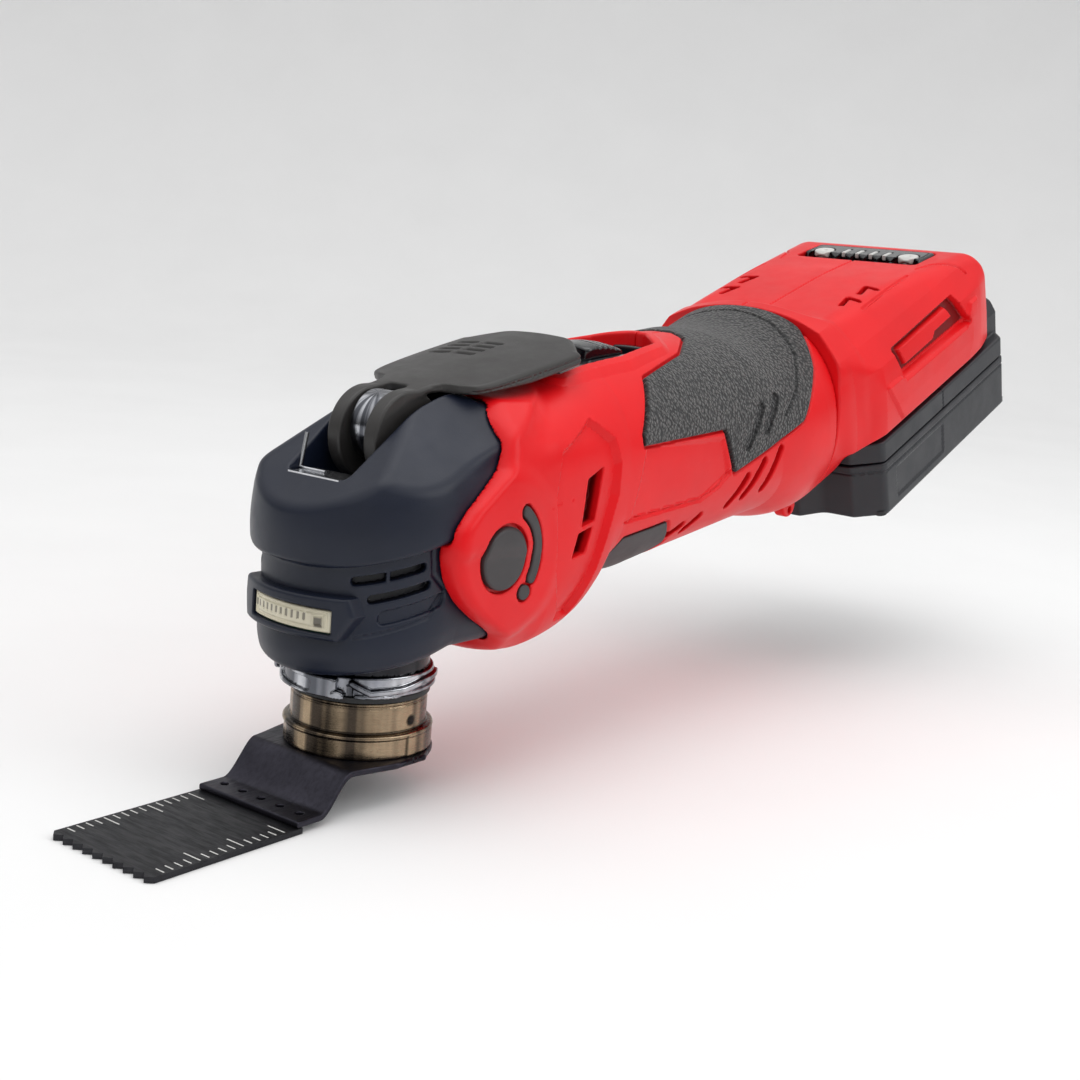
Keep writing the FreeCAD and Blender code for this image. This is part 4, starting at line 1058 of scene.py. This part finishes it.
body("cord_lug", lug_field, (158, -19, 38), (178, -13, 52), 0.3, RED, "root",
     ["lanyard_lug"], no_tone)

# ---------------------------------------------------------------- battery

def pack_plan(u, y, grow=0.0):
    side = np.abs(y)
    body_plan = polygon(u, side, [(194.6, -50), (194.6, 28), (199, 34.9), (286, 34.9), (290.3, 31),
                                  (290.3, -50)], 3.0 + grow)
    nose = polygon(u, side, [(188.5, -50), (188.5, 12), (197, 22), (197, -50)], 2.0 + grow)
    return join(body_plan, nose, 1.5)


def lower_field(x, y, z):
    u, w = rear(x, z)
    d = keep(keep(pack_plan(u, y), -31.9 - w, 1.4), w + 13.95, 0.5)
    side = np.abs(y)
    lift = groove(np.abs(w + 16.6), 0.7, 0.3)
    pad = polygon(u, w, [(206, -27.5), (206, -19.5), (238, -19.5), (238, -27.5)], 1.0)
    return d + lift + 0.45 * np.clip(0.5 - pad / 0.7, 0, 1) * (side > 30)


def upper_field(x, y, z):
    u, w = rear(x, z)
    side = np.abs(y)
    plan = pack_plan(u, y, -0.25)
    d = keep(keep(plan, w + 6.9, 0.9), -13.45 - w, 0.4)
    hump = keep(side - 33.5 + 0.5 * np.maximum(0, w), (w - 8.4) + 0.9 * np.maximum(0, u - 288), 1.6)
    hump = keep(keep(hump, 284.0 - u, 0.5), u - 292.8, 0.8)
    hump = np.maximum(hump, -9 - w)
    d = join(d, hump, 0.8)
    lid = np.where(side > 30, np.abs(u - 240.0), 9)
    d = d + groove(lid, 0.7, 0.4)
    latch = brick(u, y, w, (288.4, 0, 8.4), (4.2, 9.2, 3.4), 0.8)
    d = carve(d, latch, 0.3)
    return d


body("pack_tub", lower_field, (182, -39, 34), (288, 39, 106), 0.55, PACK, "battery",
     ["battery_lower_case"], None)
body("pack_lid", upper_field, (176, -39, 54), (288, 39, 118), 0.5, PACK, "battery",
     ["battery_upper_case"], None)

# ---------------------------------------------------------------- clamp spring

# The clamp spring is copied from its part in steel and rides on the output as one rigid piece; the
# real spring shortens between its seat and the rod's collar as the lever swings.
turns = bpy.data.objects.new("spring_coil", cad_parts["clamp_spring"].data.copy())
bpy.context.scene.collection.objects.link(turns)
turns.data.materials.clear()
turns.data.materials.append(STEEL)
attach(turns, "output")
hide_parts("clamp_spring")
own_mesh(turns)

# ---------------------------------------------------------------- finishes of the kept parts

FINISH = {
    BLACK: ["dust_seal", "motor_magnets", "brush_gear", "switch_module", "battery_rails",
            "terminal_block", "hub_washer", "cooling_fan", "battery_screws"],
    STEEL: ["spindle_bearings", "lever_catch", "lever_pin", "motor_can", "motor_bearings",
            "case_screws", "spindle", "retaining_rings", "clamp_plunger", "clamp_claws",
            "rotor_shaft", "eccentric_bush", "eccentric_bearing"],
    BOARD: ["light_board", "control_board", "panel_board", "cell_board"],
    CAST: ["fork", "rotor_core"],
    COPPER: ["contact_blades", "commutator"],
    CHROME: ["lever_cam"],
    WIRE: ["motor_leads"],
    SLEEVE: ["battery_cells"],
    PACK: ["battery_latch"],
    TOOTHED: ["blade_strip"],
}
for paint, names in FINISH.items():
    for name in names:
        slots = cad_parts[name].data.materials
        slots.clear()
        slots.append(paint)

# ---------------------------------------------------------------- floor, light and camera

cove = bpy.data.meshes.new("cove")
reach, bend = 1.1, 0.7
profile = [(-1.6, 0.0), (reach, 0.0)]
for index in range(1, 25):
    angle = math.radians(90) * index / 24
    profile.append((reach + bend * math.sin(angle), bend * (1 - math.cos(angle))))
profile.append((reach + bend, 2.4))
points = [(along, across, height) for along, height in profile for across in (-3.5, 3.5)]
quads = [(2 * i, 2 * i + 1, 2 * i + 3, 2 * i + 2) for i in range(len(profile) - 1)]
cove.from_pydata(points, [], quads)
for polygon_face in cove.polygons:
    polygon_face.use_smooth = True
backdrop = bpy.data.objects.new("cove", cove)
backdrop.location.z = -0.0109
backdrop.rotation_euler.z = math.radians(36.6)
bpy.context.scene.collection.objects.link(backdrop)
paper, tree, shader = finish_of("paper", (0.86, 0.86, 0.86), 0.9)
fibre = ramp(tree, noise(tree, place_of(tree), 0.01), 0, 1)
pale = mixed(tree, fibre, (0.87, 0.87, 0.87), (0.85, 0.85, 0.85))
tree.links.new(pale, shader.inputs["Base Color"])
cove.materials.append(paper)

world = bpy.data.worlds.new("studio")
bpy.context.scene.world = world
world.use_nodes = True
sky = world.node_tree
sky.nodes["Background"].inputs["Color"].default_value = (1, 1, 1, 1)
where = node(sky, "ShaderNodeTexCoord")
split = node(sky, "ShaderNodeSeparateXYZ")
sky.links.new(where.outputs["Generated"], split.inputs["Vector"])
rise = ramp(sky, split.outputs["Z"], 0.10, 1.35, 0.05, 0.9)
ray = node(sky, "ShaderNodeLightPath")
shown = node(sky, "ShaderNodeMix")  # past the floor's edge the camera sees an even pale grey
sky.links.new(ray.outputs["Is Camera Ray"], shown.inputs[0])
sky.links.new(rise, shown.inputs[2])
shown.inputs[3].default_value = 0.85
sky.links.new(shown.outputs[0], sky.nodes["Background"].inputs["Strength"])


def softbox(name, at, aim, size, power):
    light = bpy.data.lights.new(name, "AREA")
    light.shape = "RECTANGLE"
    light.size, light.size_y = size
    light.energy = power
    item = bpy.data.objects.new(name, light)
    item.location = at
    item.rotation_euler = (Vector(aim) - Vector(at)).to_track_quat("-Z", "Y").to_euler()
    bpy.context.scene.collection.objects.link(item)


softbox("top_box", (0.05, -0.10, 0.75), (0.08, 0, 0.05), (0.7, 0.5), 1.2)
softbox("front_box", (-0.75, -0.35, 0.45), (0.02, 0, 0.05), (0.45, 0.5), 0.25)
softbox("side_box", (0.35, -0.75, 0.45), (0.1, 0, 0.05), (0.5, 0.4), 1.3)

YAW, TIP, ROLL = math.radians(53.4), math.radians(10.7), math.radians(4.8)
ahead = Vector((math.sin(YAW), math.cos(YAW), 0))
across = Vector((math.cos(YAW), -math.sin(YAW), 0))
up = Vector((0, 0, 1))
look = ahead * math.cos(TIP) - up * math.sin(TIP)
tall = up * math.cos(TIP) + ahead * math.sin(TIP)
side = across * math.cos(ROLL) + tall * math.sin(ROLL)
tall = tall * math.cos(ROLL) - across * math.sin(ROLL)
camera = bpy.data.objects.new("camera", bpy.data.cameras.new("camera"))
camera.data.sensor_width = 36
camera.data.lens = 53.04
camera.data.clip_start = 0.01
turn = Matrix((side, tall, -look)).transposed()
camera.matrix_world = Matrix.Translation((-0.2643, -0.2450, 0.1184)) @ turn.to_4x4()
bpy.context.scene.collection.objects.link(camera)
bpy.context.scene.camera = camera
bpy.context.scene.view_settings.view_transform = "Standard"
